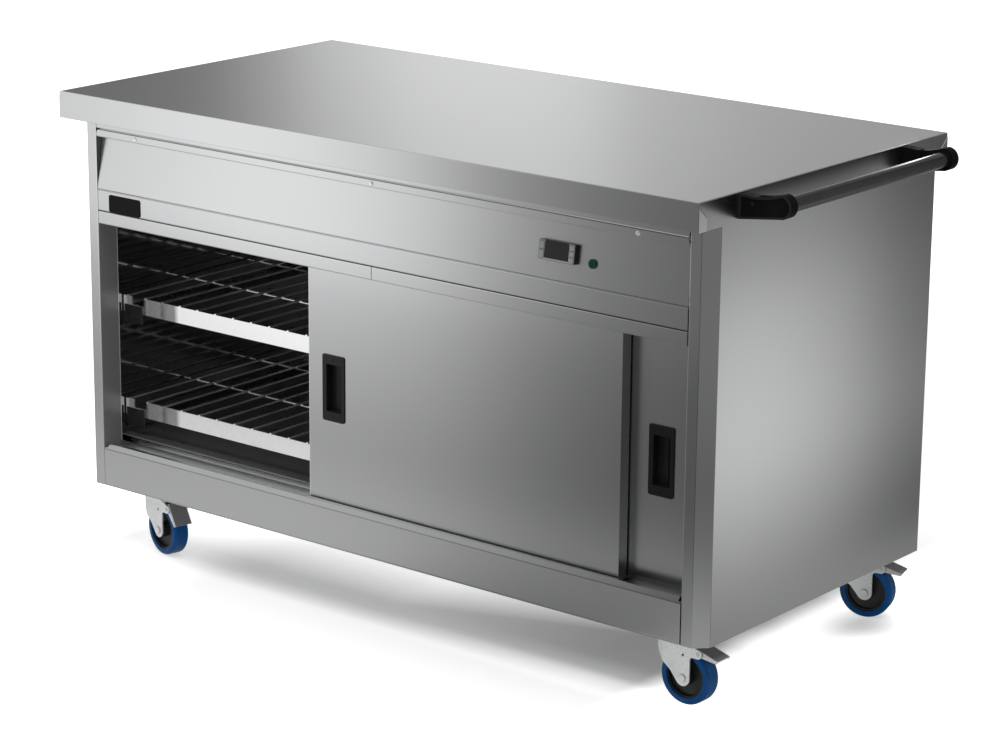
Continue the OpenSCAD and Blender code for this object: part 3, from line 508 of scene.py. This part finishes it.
MATERIALS = {
    "steel_x": steel_finish("steel_along_x", "x").material,
    "panel": panel_steel(),
    "plinth": plinth_steel(),
    "door": door_steel(),
    "fascia": fascia_steel(),
    "counter": counter_steel(),
    "liner": liner_steel(),
    "chrome": shelf_chrome(),
    "zinc": zinc_finish("zinc_plate", (0.95, 0.96, 0.965), 0.34, 0.45).material,
    "screw": screw_plate(),
    "heater": heater_sheath(),
    "plastic": moulded("black_plastic", (0.007, 0.007, 0.0075), 0.34, Specular_IOR_Level=0.3),
    "bracket": bracket_plastic(),
    "badge": moulded("badge_plastic", (0.003, 0.003, 0.0032), 0.4, Specular_IOR_Level=0.1),
    "clip": clip_steel(),
    "shell": controller_shell(),
    "hub": moulded("hub_nylon", (0.012, 0.012, 0.013), 0.45, Specular_IOR_Level=0.35),
    "key": moulded("key_plastic", (0.3, 0.31, 0.32), 0.35, lift=1.15),
    "roller": moulded("roller_nylon", (0.62, 0.6, 0.55), 0.4, lift=1.1),
    "tube": tube_coat(),
    "tyre": tyre_rubber(),
    "glass": display_glass(),
    "lens": lamp_lens(),
}
FINISHES = {
    "steel_x": (
        "insulated_deck", "back_panel", "base_pan", "service_tray", "lower_track",
        "upper_track", "trim_strip", "top_rail", "header_cover_left",
        "header_cover_right", "rear_door_skin",
    ),
    "panel": ("end_panel_left", "end_panel_right"),
    "plinth": ("front_plinth",),
    "door": ("front_door_skin",),
    "fascia": ("control_fascia",),
    "counter": ("counter_top",),
    "liner": ("liner", "liner_floor", "front_door_liner", "rear_door_liner"),
    "clip": ("shelf_runners",),
    "chrome": ("upper_shelf", "lower_shelf", "temperature_probe"),
    "zinc": ("caster_plates", *each("fork")),
    "heater": ("heating_element",),
    "plastic": ("front_door_pull", "rear_door_pull", "cable_gland"),
    "bracket": ("handle_brackets",),
    "shell": ("controller_case",),
    "hub": each("hub"),
    "key": KEYS,
    "roller": ("roller_front_left", "roller_front_right", "roller_rear_left", "roller_rear_right"),
    "tube": ("handle_tube",),
    "tyre": each("tyre"),
    "glass": ("display_window",),
    "lens": ("indicator_lamp",),
}
for corner, tilt in PEDAL_TILTS.items():
    pedal = "pedal_" + corner
    MATERIALS[pedal] = pedal_steel(corner, tilt)
    FINISHES[pedal] = (pedal,)


def dress(node, material):
    slots = nodes[node].data.materials
    slots.clear()
    slots.append(material)


for finish_name, members in FINISHES.items():
    for member in members:
        dress(member, MATERIALS[finish_name])


def soften(node, width):
    """Rounds a node's sharp edges, as a press brake or a mould does."""
    part = nodes[node]
    weld = part.modifiers.new("weld", "WELD")
    weld.merge_threshold = 0.002 * MM
    bevel = part.modifiers.new("fold", "BEVEL")
    bevel.width = width
    bevel.segments = 2
    bevel.limit_method = "ANGLE"
    bevel.angle_limit = math.radians(28)
    bevel.use_clamp_overlap = True
    bevel.harden_normals = False
    smooth = part.modifiers.new("normals", "WEIGHTED_NORMAL")
    smooth.keep_sharp = True
    smooth.weight = 100


FOLDS = {
    0.25 * MM: (
        "end_panel_left", "end_panel_right", "front_plinth", "trim_strip", "control_fascia",
        "top_rail", "header_cover_left", "header_cover_right", "front_door_skin", "rear_door_skin",
    ),
    0.7 * MM: ("counter_top", "controller_case", "front_door_pull", "rear_door_pull"),
    0.5 * MM: (*KEYS, "handle_brackets", "shelf_runners", *each("pedal")),
}
for fold, members in FOLDS.items():
    for member in members:
        soften(member, fold)


# Small fittings

def piece(name, bm, material, body):
    """Turns a bmesh into a named piece that rides on a body and takes a slot's finish."""
    bmesh.ops.recalc_face_normals(bm, faces=bm.faces)
    mesh = bpy.data.meshes.new(name)
    bm.to_mesh(mesh)
    bm.free()
    made = add_object(name, mesh)
    made.data.materials.append(MATERIALS[material])
    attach(made, body)


def lathe(bm, profile, place, steps=28, smooth=True):
    """Revolves (radius, height) points round the local Z axis; a radius of 0 closes an end."""
    turns = [2 * math.pi * k / steps for k in range(steps)]
    rings = []
    for radius, height in profile:
        if radius == 0:
            rings.append([bm.verts.new(place @ Vector((0, 0, height)))])
            continue
        rings.append([
            bm.verts.new(place @ Vector((radius * math.cos(t), radius * math.sin(t), height)))
            for t in turns
        ])
    for lower, upper in zip(rings, rings[1:]):
        for k in range(steps):
            n = (k + 1) % steps
            corners = []
            for ring, index in ((lower, k), (lower, n), (upper, n), (upper, k)):
                vertex = ring[index % len(ring)]
                if vertex not in corners:
                    corners.append(vertex)
            bm.faces.new(corners).smooth = smooth


def facing(point, normal):
    """Placement whose Z axis leaves the surface at a point."""
    turn = Vector((0, 0, 1)).rotation_difference(Vector(normal)).to_matrix().to_4x4()
    return Matrix.Translation(point) @ turn


def wedge(bm, place, low, high):
    """Closed block between two corners, narrowed towards its top."""
    narrow = 0.85
    middle = [(a + b) / 2 for a, b in zip(low, high)]
    outline = ((low[0], low[1]), (high[0], low[1]), (high[0], high[1]), (low[0], high[1]))
    verts = []
    for z, share in ((low[2], 1.0), (high[2], narrow)):
        for x, y in outline:
            x = middle[0] + (x - middle[0]) * share
            y = middle[1] + (y - middle[1]) * share
            verts.append(bm.verts.new(place @ Vector((x, y, z))))
    ends = ((3, 2, 1, 0), (4, 5, 6, 7))
    sides = ((0, 1, 5, 4), (1, 2, 6, 5), (2, 3, 7, 6), (3, 0, 4, 7))
    for face in ends + sides:
        bm.faces.new([verts[k] for k in face])


def screw(bm, point, normal, radius, spin):
    """Pan-head screw with a cross recess cut into its crown."""
    place = facing(point, normal) @ Matrix.Rotation(spin, 4, "Z")
    foot = -0.3 * radius
    crown = 0.55 * radius
    floor_of_recess = crown - 0.6 * crown
    rim = 0.98 * crown
    arm = 0.55 * radius
    near = 0.13 * radius
    far = 3.2 * near
    lathe(bm, [(0, foot), (radius, foot), (radius, 0.2 * crown),
               (0.93 * radius, 0.55 * crown), (0.78 * radius, 0.85 * crown),
               (0.62 * radius, crown), (0, floor_of_recess)], place)
    for turn in (0, math.pi / 2):
        rib = place @ Matrix.Rotation(turn + math.pi / 4, 4, "Z")
        wedge(bm, rib, (-arm, near, floor_of_recess), (arm, far, rim))
        wedge(bm, rib, (-arm, -far, floor_of_recess), (arm, -near, rim))


def screws(name, places, radius, body, material="screw"):
    """One piece with a screw at each place, each turned a little further than the last."""
    turn = 0.7
    bm = bmesh.new()
    for k, (point, normal) in enumerate(places):
        screw(bm, point, normal, radius, spin=turn * k)
    piece(name, bm, material, body)


def hexagon(bm, place, radius, height):
    """Hexagon bolt head on a pressed washer."""
    washer = 0.2 * height
    wide = 1.35 * radius
    lathe(bm, [(0, 0), (wide, 0), (wide, washer), (0, washer)], place)
    lathe(bm, [(0, washer), (radius, washer), (radius, 0.85 * height),
               (0.82 * radius, height), (0, height)], place, steps=6, smooth=False)


def rounded_outline(width, height, radius):
    steps = 5
    points = []
    for sx, sy, start in ((1, 1, 0), (-1, 1, 90), (-1, -1, 180), (1, -1, 270)):
        for k in range(steps + 1):
            angle = math.radians(start + 90 * k / steps)
            x = sx * (width / 2 - radius) + radius * math.cos(angle)
            y = sy * (height / 2 - radius) + radius * math.sin(angle)
            points.append((x, y))
    return points


def raised_plate(bm, place, width, height, thick, radius, edge, dish):
    """Rounded plate with a chamfered edge and a sunk middle."""
    rim = 3 * edge
    floor_inset = rim + dish
    rings = [
        (0.0, radius, 0.0),
        (0.0, radius, thick - edge),
        (edge, radius - edge, thick),
        (rim, radius - edge, thick),
        (floor_inset, radius - edge, thick - dish),
    ]
    loops = []
    for inset, corner_radius, z in rings:
        outline = rounded_outline(width - 2 * inset, height - 2 * inset, corner_radius)
        loops.append([bm.verts.new(place @ Vector((x, y, z))) for x, y in outline])
    count = len(loops[0])
    for lower, upper in zip(loops, loops[1:]):
        for k in range(count):
            n = (k + 1) % count
            bm.faces.new((lower[k], lower[n], upper[n], upper[k]))
    bm.faces.new(reversed(loops[0]))
    bm.faces.new(loops[-1])


def upright(point):
    """Placement on a front face: X along it, Y up, Z out of it."""
    axes = Matrix(((1, 0, 0), (0, 0, -1), (0, 1, 0))).to_4x4()
    return Matrix.Translation(point) @ axes


SHEET_SCREW = 4.2 * MM
FORWARD = (0, -1, 0)
BACKWARD = (0, 1, 0)
DOWNWARD = (0, 0, -1)
rail_low, rail_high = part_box("top_rail")
front_y = rail_low.y
middle_x = (rail_low.x + rail_high.x) / 2

# Blank plate on the top rail
BADGE_WIDTH = 81 * MM
BADGE_HEIGHT = 33 * MM
BADGE_INSET = 30 * MM
BADGE_DROP = 2 * MM
badge_x = rail_low.x + BADGE_INSET + BADGE_WIDTH / 2
badge_z = (rail_low.z + rail_high.z) / 2 - BADGE_DROP
bm = bmesh.new()
raised_plate(bm, upright((badge_x, front_y, badge_z)), BADGE_WIDTH, BADGE_HEIGHT,
             thick=2 * MM, radius=4 * MM, edge=0.6 * MM, dish=0.5 * MM)
piece("badge_plate", bm, "badge", "cabinet")

# Fascia screws along the flange
FLANGE_SCREW_DROP = 8 * MM
FLANGE_SCREW_OFFSETS = (-0.578, 0.0, 0.576)
flange_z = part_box("control_fascia")[1].z - FLANGE_SCREW_DROP
screws("fascia_screws", [
    ((middle_x + offset, front_y, flange_z), FORWARD) for offset in FLANGE_SCREW_OFFSETS
], SHEET_SCREW, "cabinet")

# Pull screws, one above and one below each recess
PULL_SCREW = 3.4 * MM
PULL_SCREW_SPREAD = 53.6 * MM
PULL_SCREW_SINK = 1.4 * MM
for door in ("front_door", "rear_door"):
    low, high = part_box(door + "_pull")
    x = (low.x + high.x) / 2
    z = (low.z + high.z) / 2
    screws(door + "_pull_screws", [
        ((x, low.y + PULL_SCREW_SINK, z + side * PULL_SCREW_SPREAD), FORWARD) for side in (-1, 1)
    ], PULL_SCREW, door, material="plastic")

# Screw on the outer face of each handle bracket
BRACKET_SCREW = 4.5 * MM
BRACKET_SINK = 1 * MM
BRACKET_SCREW_INSET = 26 * MM
BRACKET_SCREW_DROP = 23 * MM
low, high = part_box("handle_brackets")
screw_x = low.x + BRACKET_SCREW_INSET
screw_z = high.z - BRACKET_SCREW_DROP
screws("bracket_screws", [
    ((screw_x, low.y + BRACKET_SINK, screw_z), FORWARD),
    ((screw_x, high.y - BRACKET_SINK, screw_z), BACKWARD),
], BRACKET_SCREW, "cabinet", material="plastic")

# Bolts under the caster plates
BOLT_X = 40 * MM
BOLT_Y = 30 * MM
BOLT_RADIUS = 6.5 * MM
BOLT_HEIGHT = 4.5 * MM
PLATE_THICK = 3 * MM
bolt_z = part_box("caster_plates")[1].z - PLATE_THICK
bm = bmesh.new()
for corner in CORNERS:
    swivel = joint_named("swivel_" + corner)["pos_m"]
    for side_x, side_y in ((-1, -1), (-1, 1), (1, -1), (1, 1)):
        point = (swivel[0] + side_x * BOLT_X, swivel[1] + side_y * BOLT_Y, bolt_z)
        hexagon(bm, facing(point, DOWNWARD), BOLT_RADIUS, BOLT_HEIGHT)
piece("caster_bolts", bm, "zinc", "cabinet")

# Screws along the end panels' back flanges
FLANGE_MIDDLE = 11 * MM
BACK_SCREW_SHARES = (0.04, 0.27, 0.5, 0.73, 0.96)
panel_low, panel_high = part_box("end_panel_right")
panel_height = panel_high.z - panel_low.z
screws("back_screws", [
    ((side_x, panel_high.y, panel_low.z + share * panel_height), BACKWARD)
    for side_x in (panel_high.x - FLANGE_MIDDLE, 2 * middle_x - panel_high.x + FLANGE_MIDDLE)
    for share in BACK_SCREW_SHARES
], SHEET_SCREW, "cabinet")


# Studio

def plane_x(x, ys, zs):
    """Corners of an upright rectangle that faces along X."""
    return [(x, ys[0], zs[0]), (x, ys[1], zs[0]), (x, ys[1], zs[1]), (x, ys[0], zs[1])]


def plane_y(y, xs, zs):
    """Corners of an upright rectangle that faces along Y."""
    return [(xs[0], y, zs[0]), (xs[1], y, zs[0]), (xs[1], y, zs[1]), (xs[0], y, zs[1])]


def plane_z(z, xs, ys):
    """Corners of a level rectangle."""
    return [(xs[0], ys[0], z), (xs[1], ys[0], z), (xs[1], ys[1], z), (xs[0], ys[1], z)]


def flat_sheet(name, corners):
    mesh = bpy.data.meshes.new(name)
    mesh.from_pydata(corners, [], [(0, 1, 2, 3)])
    return add_object(name, mesh)


def ramp(tree, source, stops):
    """Strength along a board, drawn through (place, strength) stops."""
    node = tree.nodes.new("ShaderNodeFloatCurve")
    curve = node.mapping.curves[0]
    ready = len(curve.points)
    scale = max(value for _, value in stops)
    for k, (place, value) in enumerate(stops):
        point = (place, value / scale)
        if k < ready:
            curve.points[k].location = point
        else:
            curve.points.new(*point)
    node.mapping.update()
    tree.links.new(source, node.inputs["Value"])
    return sum_node(tree, "MULTIPLY", node.outputs["Value"], scale)


def board(name, corners, across, height, glow=None):
    """Reflector that only polish sees: a sideways ramp times an upward one, plus a glow."""
    made = flat_sheet(name, corners)
    layer = made.data.uv_layers.new(name="board")
    for loop, uv in zip(layer.data, ((0, 0), (1, 0), (1, 1), (0, 1))):
        loop.uv = uv
    material = bpy.data.materials.new(name)
    material.use_nodes = True
    tree = material.node_tree
    tree.nodes.clear()
    split = tree.nodes.new("ShaderNodeSeparateXYZ")
    tree.links.new(tree.nodes.new("ShaderNodeUVMap").outputs["UV"], split.inputs["Vector"])
    sideways = ramp(tree, split.outputs["X"], across)
    upward = ramp(tree, split.outputs["Y"], height)
    level = sum_node(tree, "MULTIPLY", sideways, upward)
    if glow:
        level = sum_node(tree, "ADD", level, ramp(tree, split.outputs["Y"], glow))
    light = tree.nodes.new("ShaderNodeEmission")
    tree.links.new(level, light.inputs["Strength"])
    output = tree.nodes.new("ShaderNodeOutputMaterial")
    tree.links.new(light.outputs["Emission"], output.inputs["Surface"])
    material.cycles.emission_sampling = "NONE"
    made.data.materials.append(material)
    made.visible_camera = False
    made.visible_diffuse = False
    made.visible_transmission = False
    made.visible_shadow = False


FLAG_LIFT = 0.004
EVEN = [(0.0, 1.0), (1.0, 1.0)]
board("front_board", plane_y(-0.76, (-2.2, 2.0), (0.0, 1.7)),
      across=[(0.0, 0.9), (0.2, 1.0), (0.276, 1.1), (0.316, 1.2), (0.354, 1.27), (0.393, 1.22),
              (0.431, 1.1), (0.47, 0.86), (0.508, 0.55), (0.547, 0.36), (0.586, 0.26),
              (0.63, 0.21), (1.0, 0.2)],
      height=[(0.0, 0.3), (0.048, 0.32), (0.144, 0.5), (0.24, 0.67), (0.268, 0.73), (0.3, 0.93),
              (0.33, 1.04), (0.385, 1.03), (0.5, 1.03), (1.0, 1.03)],
      glow=[(0.0, 0.32), (0.03, 0.24), (0.08, 0.06), (0.15, 0.0), (1.0, 0.0)])
board("fold_flag", plane_y(-0.75, (0.7, 0.88), (0.0, 0.85)),
      across=[(0.0, 0.12), (0.25, 0.03), (0.75, 0.03), (1.0, 0.14)],
      height=EVEN)
board("front_flag", plane_z(FLAG_LIFT, (-2.2, 2.0), (-1.1, -0.3)),
      across=[(0.0, 0.55), (0.25, 0.61), (0.42, 0.62), (0.5, 0.38), (0.6, 0.24), (0.63, 0.45),
              (0.68, 0.52), (1.0, 0.52)],
      height=EVEN)
board("right_board", plane_x(0.95, (-1.0, 1.6), (0.0, 1.7)),
      across=[(0.0, 0.24), (0.2, 0.25), (0.3, 0.34), (0.37, 0.72), (0.406, 0.85), (0.435, 0.9),
              (0.465, 0.88), (0.495, 0.84), (0.524, 0.78), (0.554, 0.7), (0.584, 0.58),
              (0.613, 0.43), (0.643, 0.29), (0.75, 0.17), (1.0, 0.15)],
      height=[(0.0, 0.44), (0.021, 0.48), (0.121, 0.78), (0.221, 0.99), (0.309, 0.9),
              (0.392, 0.62), (0.5, 0.42), (1.0, 0.4)],
      glow=[(0.0, 0.0), (0.08, 0.03), (0.15, 0.07), (0.22, 0.04), (0.3, 0.0), (1.0, 0.0)])
board("right_flag", plane_z(FLAG_LIFT, (0.6, 1.5), (-1.0, 1.6)),
      across=EVEN,
      height=[(0.0, 0.24), (0.3, 0.34), (0.5, 0.36), (0.65, 0.32), (1.0, 0.2)])
board("corner_board", plane_x(0.94, (-0.75, -0.33), (0.0, 1.0)),
      across=EVEN,
      height=[(0.0, 0.48), (0.05, 0.42), (0.133, 0.3), (0.218, 0.2), (0.313, 0.175),
              (0.397, 0.21), (0.49, 0.232), (0.67, 0.241), (1.0, 0.225)])

# Dark gap behind the handle's tube, and the light along its top
SHADE_MARGIN = 6 * MM
LIGHT_GAP = 4 * MM
LIGHT_PAST_TUBE = 0.11
LIGHT_BOTTOM = 20 * MM
LIGHT_TOP = 95 * MM
counter_low, counter_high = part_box("counter_top")
tube_low, tube_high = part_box("handle_tube")
board("handle_shade",
      plane_x((counter_high.x + tube_low.x) / 2, (tube_low.y, tube_high.y),
              (counter_low.z - SHADE_MARGIN, counter_high.z + SHADE_MARGIN)),
      across=[(0.0, 1.6), (0.1, 1.0), (0.9, 1.0), (1.0, 1.6)],
      height=[(0.0, 0.32), (0.3, 0.19), (0.6, 0.05), (1.0, 0.0)])
board("tube_light",
      plane_x(counter_high.x + LIGHT_GAP, (tube_low.y, tube_high.y + LIGHT_PAST_TUBE),
              (counter_high.z + LIGHT_BOTTOM, counter_high.z + LIGHT_TOP)),
      across=[(0.0, 0.6), (0.37, 0.8), (0.56, 1.1), (0.66, 1.5), (0.77, 2.8), (0.83, 6.0),
              (0.88, 9.5), (0.93, 7.0), (0.96, 1.0), (1.0, 0.0)],
      height=[(0.0, 1.0), (0.5, 0.8), (1.0, 0.3)])

# Surroundings of the back, the left end and the counter
board("rear_board", plane_y(1.1, (-2.6, 2.0), (0.0, 0.92)),
      across=[(0.0, 0.3), (0.2, 0.42), (0.36, 0.8), (0.46, 0.98), (0.58, 0.8), (0.74, 0.45),
              (1.0, 0.3)],
      height=[(0.0, 0.5), (0.3, 0.66), (0.65, 0.9), (1.0, 1.0)])
board("rear_flag", plane_z(FLAG_LIFT, (-2.6, 0.6), (0.4, 1.1)),
      across=[(0.0, 0.4), (0.4, 0.55), (0.7, 0.5), (1.0, 0.4)],
      height=[(0.0, 0.8), (1.0, 1.0)])
board("left_board", plane_x(-1.9, (-0.7, 1.8), (0.0, 0.92)),
      across=[(0.0, 0.5), (0.2, 0.75), (0.35, 0.95), (0.5, 0.75), (0.7, 0.4), (1.0, 0.25)],
      height=[(0.0, 0.5), (0.3, 0.7), (0.65, 0.95), (1.0, 1.0)])
board("left_flag", plane_z(FLAG_LIFT, (-1.7, -0.86), (-0.3, 0.4)),
      across=[(0.0, 1.0), (1.0, 0.8)],
      height=[(0.0, 0.42), (0.5, 0.5), (1.0, 0.44)])
board("ceiling_board", plane_z(2.6, (-3.2, 3.2), (-3.2, 3.2)),
      across=[(0.0, 0.95), (0.156, 0.95), (0.25, 0.74), (0.36, 0.5), (0.5, 0.68), (0.62, 0.8),
              (1.0, 0.6)],
      height=[(0.0, 0.9), (0.33, 1.0), (0.5, 0.95), (0.7, 0.75), (1.0, 0.65)])
board("back_board", plane_y(0.95, (-2.6, 1.4), (0.93, 2.0)),
      across=[(0.0, 0.15), (0.19, 0.22), (0.27, 0.45), (0.35, 0.82), (0.45, 0.98), (0.56, 0.68),
              (0.71, 0.47), (1.0, 0.4)],
      height=[(0.0, 1.0), (0.3, 0.95), (0.6, 0.8), (1.0, 0.7)])


def shows_white(tree, plain):
    """White for what the camera, polish and glass see; the plain strength for the light itself."""
    path = tree.nodes.new("ShaderNodeLightPath")
    seen = path.outputs["Is Camera Ray"]
    for ray in ("Is Glossy Ray", "Is Transmission Ray"):
        seen = sum_node(tree, "MAXIMUM", seen, path.outputs[ray])
    level = tree.nodes.new("ShaderNodeMapRange")
    level.inputs["To Min"].default_value = plain
    level.inputs["To Max"].default_value = 1.0
    tree.links.new(seen, level.inputs["Value"])
    return level.outputs["Result"]


FLOOR_TONE = 0.82
FLOOR_GLOW = 0.19
FLOOR_REACH = 40.0
CONTACT_AT = (0.65, 0.25, 0)
CONTACT_SIZE = 0.15
CONTACT_GLOW = 0.2


def floor_glow(finish):
    """Strength of the floor's glow: painted light and painted shadow that shape the cabinet's
    shadow, as soft lamps behind it would.
    """
    place = finish.split(finish.coords)
    x, y = place["X"], place["Y"]

    # Painted shadow, deepest under the cabinet's middle and right
    dim = finish.ease(y, 0, 1, -0.26, -0.17)
    dim = finish.times(dim, finish.remap(x, 0, -0.14, -0.1, 0.35))
    dim = finish.times(dim, finish.ease(y, 1, 0, 0.05, 0.25))

    # Painted light from behind, which reaches further forward on the left
    skew = finish.times(finish.math("MAXIMUM", finish.plus(x, 0.1), 0.0), -0.35)
    lift = finish.remap(finish.plus(y, skew), 0, 0.55, -0.21, -0.02)
    lift = finish.times(lift, finish.ease(y, 1, 0, 0.0, 0.15))

    # Painted light from beside both ends
    left_end = finish.ease(x, 0.45, 0, -0.72, -0.42)
    right_end = finish.ease(x, 0, 0.85, 0.47, 0.55)

    # Painted light on the shadow's soft front edge, more towards the right
    edge = finish.ease(y, 1, 0, -0.275, -0.235)
    edge = finish.times(edge, finish.remap(x, 0.03, 0.25, -0.1, 0.4))
    edge = finish.times(edge, finish.ease(y, 0, 1, -0.36, -0.28))

    inside = finish.plus(finish.plus(dim, lift), finish.plus(left_end, right_end))
    return finish.plus(inside, finish.plus(edge, FLOOR_GLOW))


def floor_paint():
    """Pale matt floor whose glow paints the cabinet's shadow, with a painted shadow under the back
    right wheel.
    """
    tone = (FLOOR_TONE, FLOOR_TONE, FLOOR_TONE)
    finish = Finish("pale_floor", tone, roughness=1.0, Specular_IOR_Level=0.0)
    # Painted shadow under the back right wheel
    to_contact = finish.add("ShaderNodeVectorMath", operation="DISTANCE")
    finish.link(finish.coords, to_contact.inputs[0])
    to_contact.inputs[1].default_value = CONTACT_AT
    contact = finish.ease(to_contact.outputs["Value"], CONTACT_GLOW, 1.0, 0.0, CONTACT_SIZE)
    glow = finish.times(floor_glow(finish), contact)
    finish.shine(finish.times(glow, shows_white(finish.tree, 0.0)))
    return finish.material


floor_span = (-FLOOR_REACH, FLOOR_REACH)
floor = flat_sheet("floor", plane_z(0, floor_span, floor_span))
floor.data.materials.append(floor_paint())

FILL = 0.25
world = bpy.data.worlds.new("studio")
bpy.context.scene.world = world
world.use_nodes = True
sky = world.node_tree.nodes["Background"]
sky.inputs["Color"].default_value = WHITE
world.node_tree.links.new(shows_white(world.node_tree, FILL), sky.inputs["Strength"])


def sun(name, share, angle, towards):
    """Wide soft lamp; share is how bright it alone makes a white surface that faces it."""
    lamp = bpy.data.lights.new(name, "SUN")
    lamp.energy = share * math.pi
    lamp.angle = math.radians(angle)
    made = add_object(name, lamp)
    made.rotation_euler = Vector(towards).to_track_quat("-Z", "Y").to_euler()
    made.visible_glossy = False


sun("overhead", share=0.80, angle=40, towards=(-0.16, 0.2, -1.0))
sun("front_fill", share=0.16, angle=60, towards=(-0.45, 0.75, -0.35))

# Camera at the photograph's place
CAMERA_AT = Vector((3.47325, -4.3855, 1.985))
CAMERA_YAW = math.radians(38.386)
CAMERA_PITCH = math.radians(15.703)
CAMERA_ROLL = math.radians(0.601)
camera = bpy.data.cameras.new("camera")
camera.sensor_fit = "HORIZONTAL"
camera.sensor_width = 36.0
camera.lens = 113.44
camera.shift_x = -0.0106
viewer = add_object("camera", camera)
back = Vector((
    math.sin(CAMERA_YAW) * math.cos(CAMERA_PITCH),
    -math.cos(CAMERA_YAW) * math.cos(CAMERA_PITCH),
    math.sin(CAMERA_PITCH),
))
level_right = Vector((math.cos(CAMERA_YAW), math.sin(CAMERA_YAW), 0))
level_up = back.cross(level_right)
right = math.cos(CAMERA_ROLL) * level_right + math.sin(CAMERA_ROLL) * level_up
up = back.cross(right)
turned = Matrix((right, up, back)).transposed().to_4x4()
viewer.matrix_world = Matrix.Translation(CAMERA_AT) @ turned
bpy.context.scene.camera = viewer
bpy.context.scene.view_settings.view_transform = "Standard"
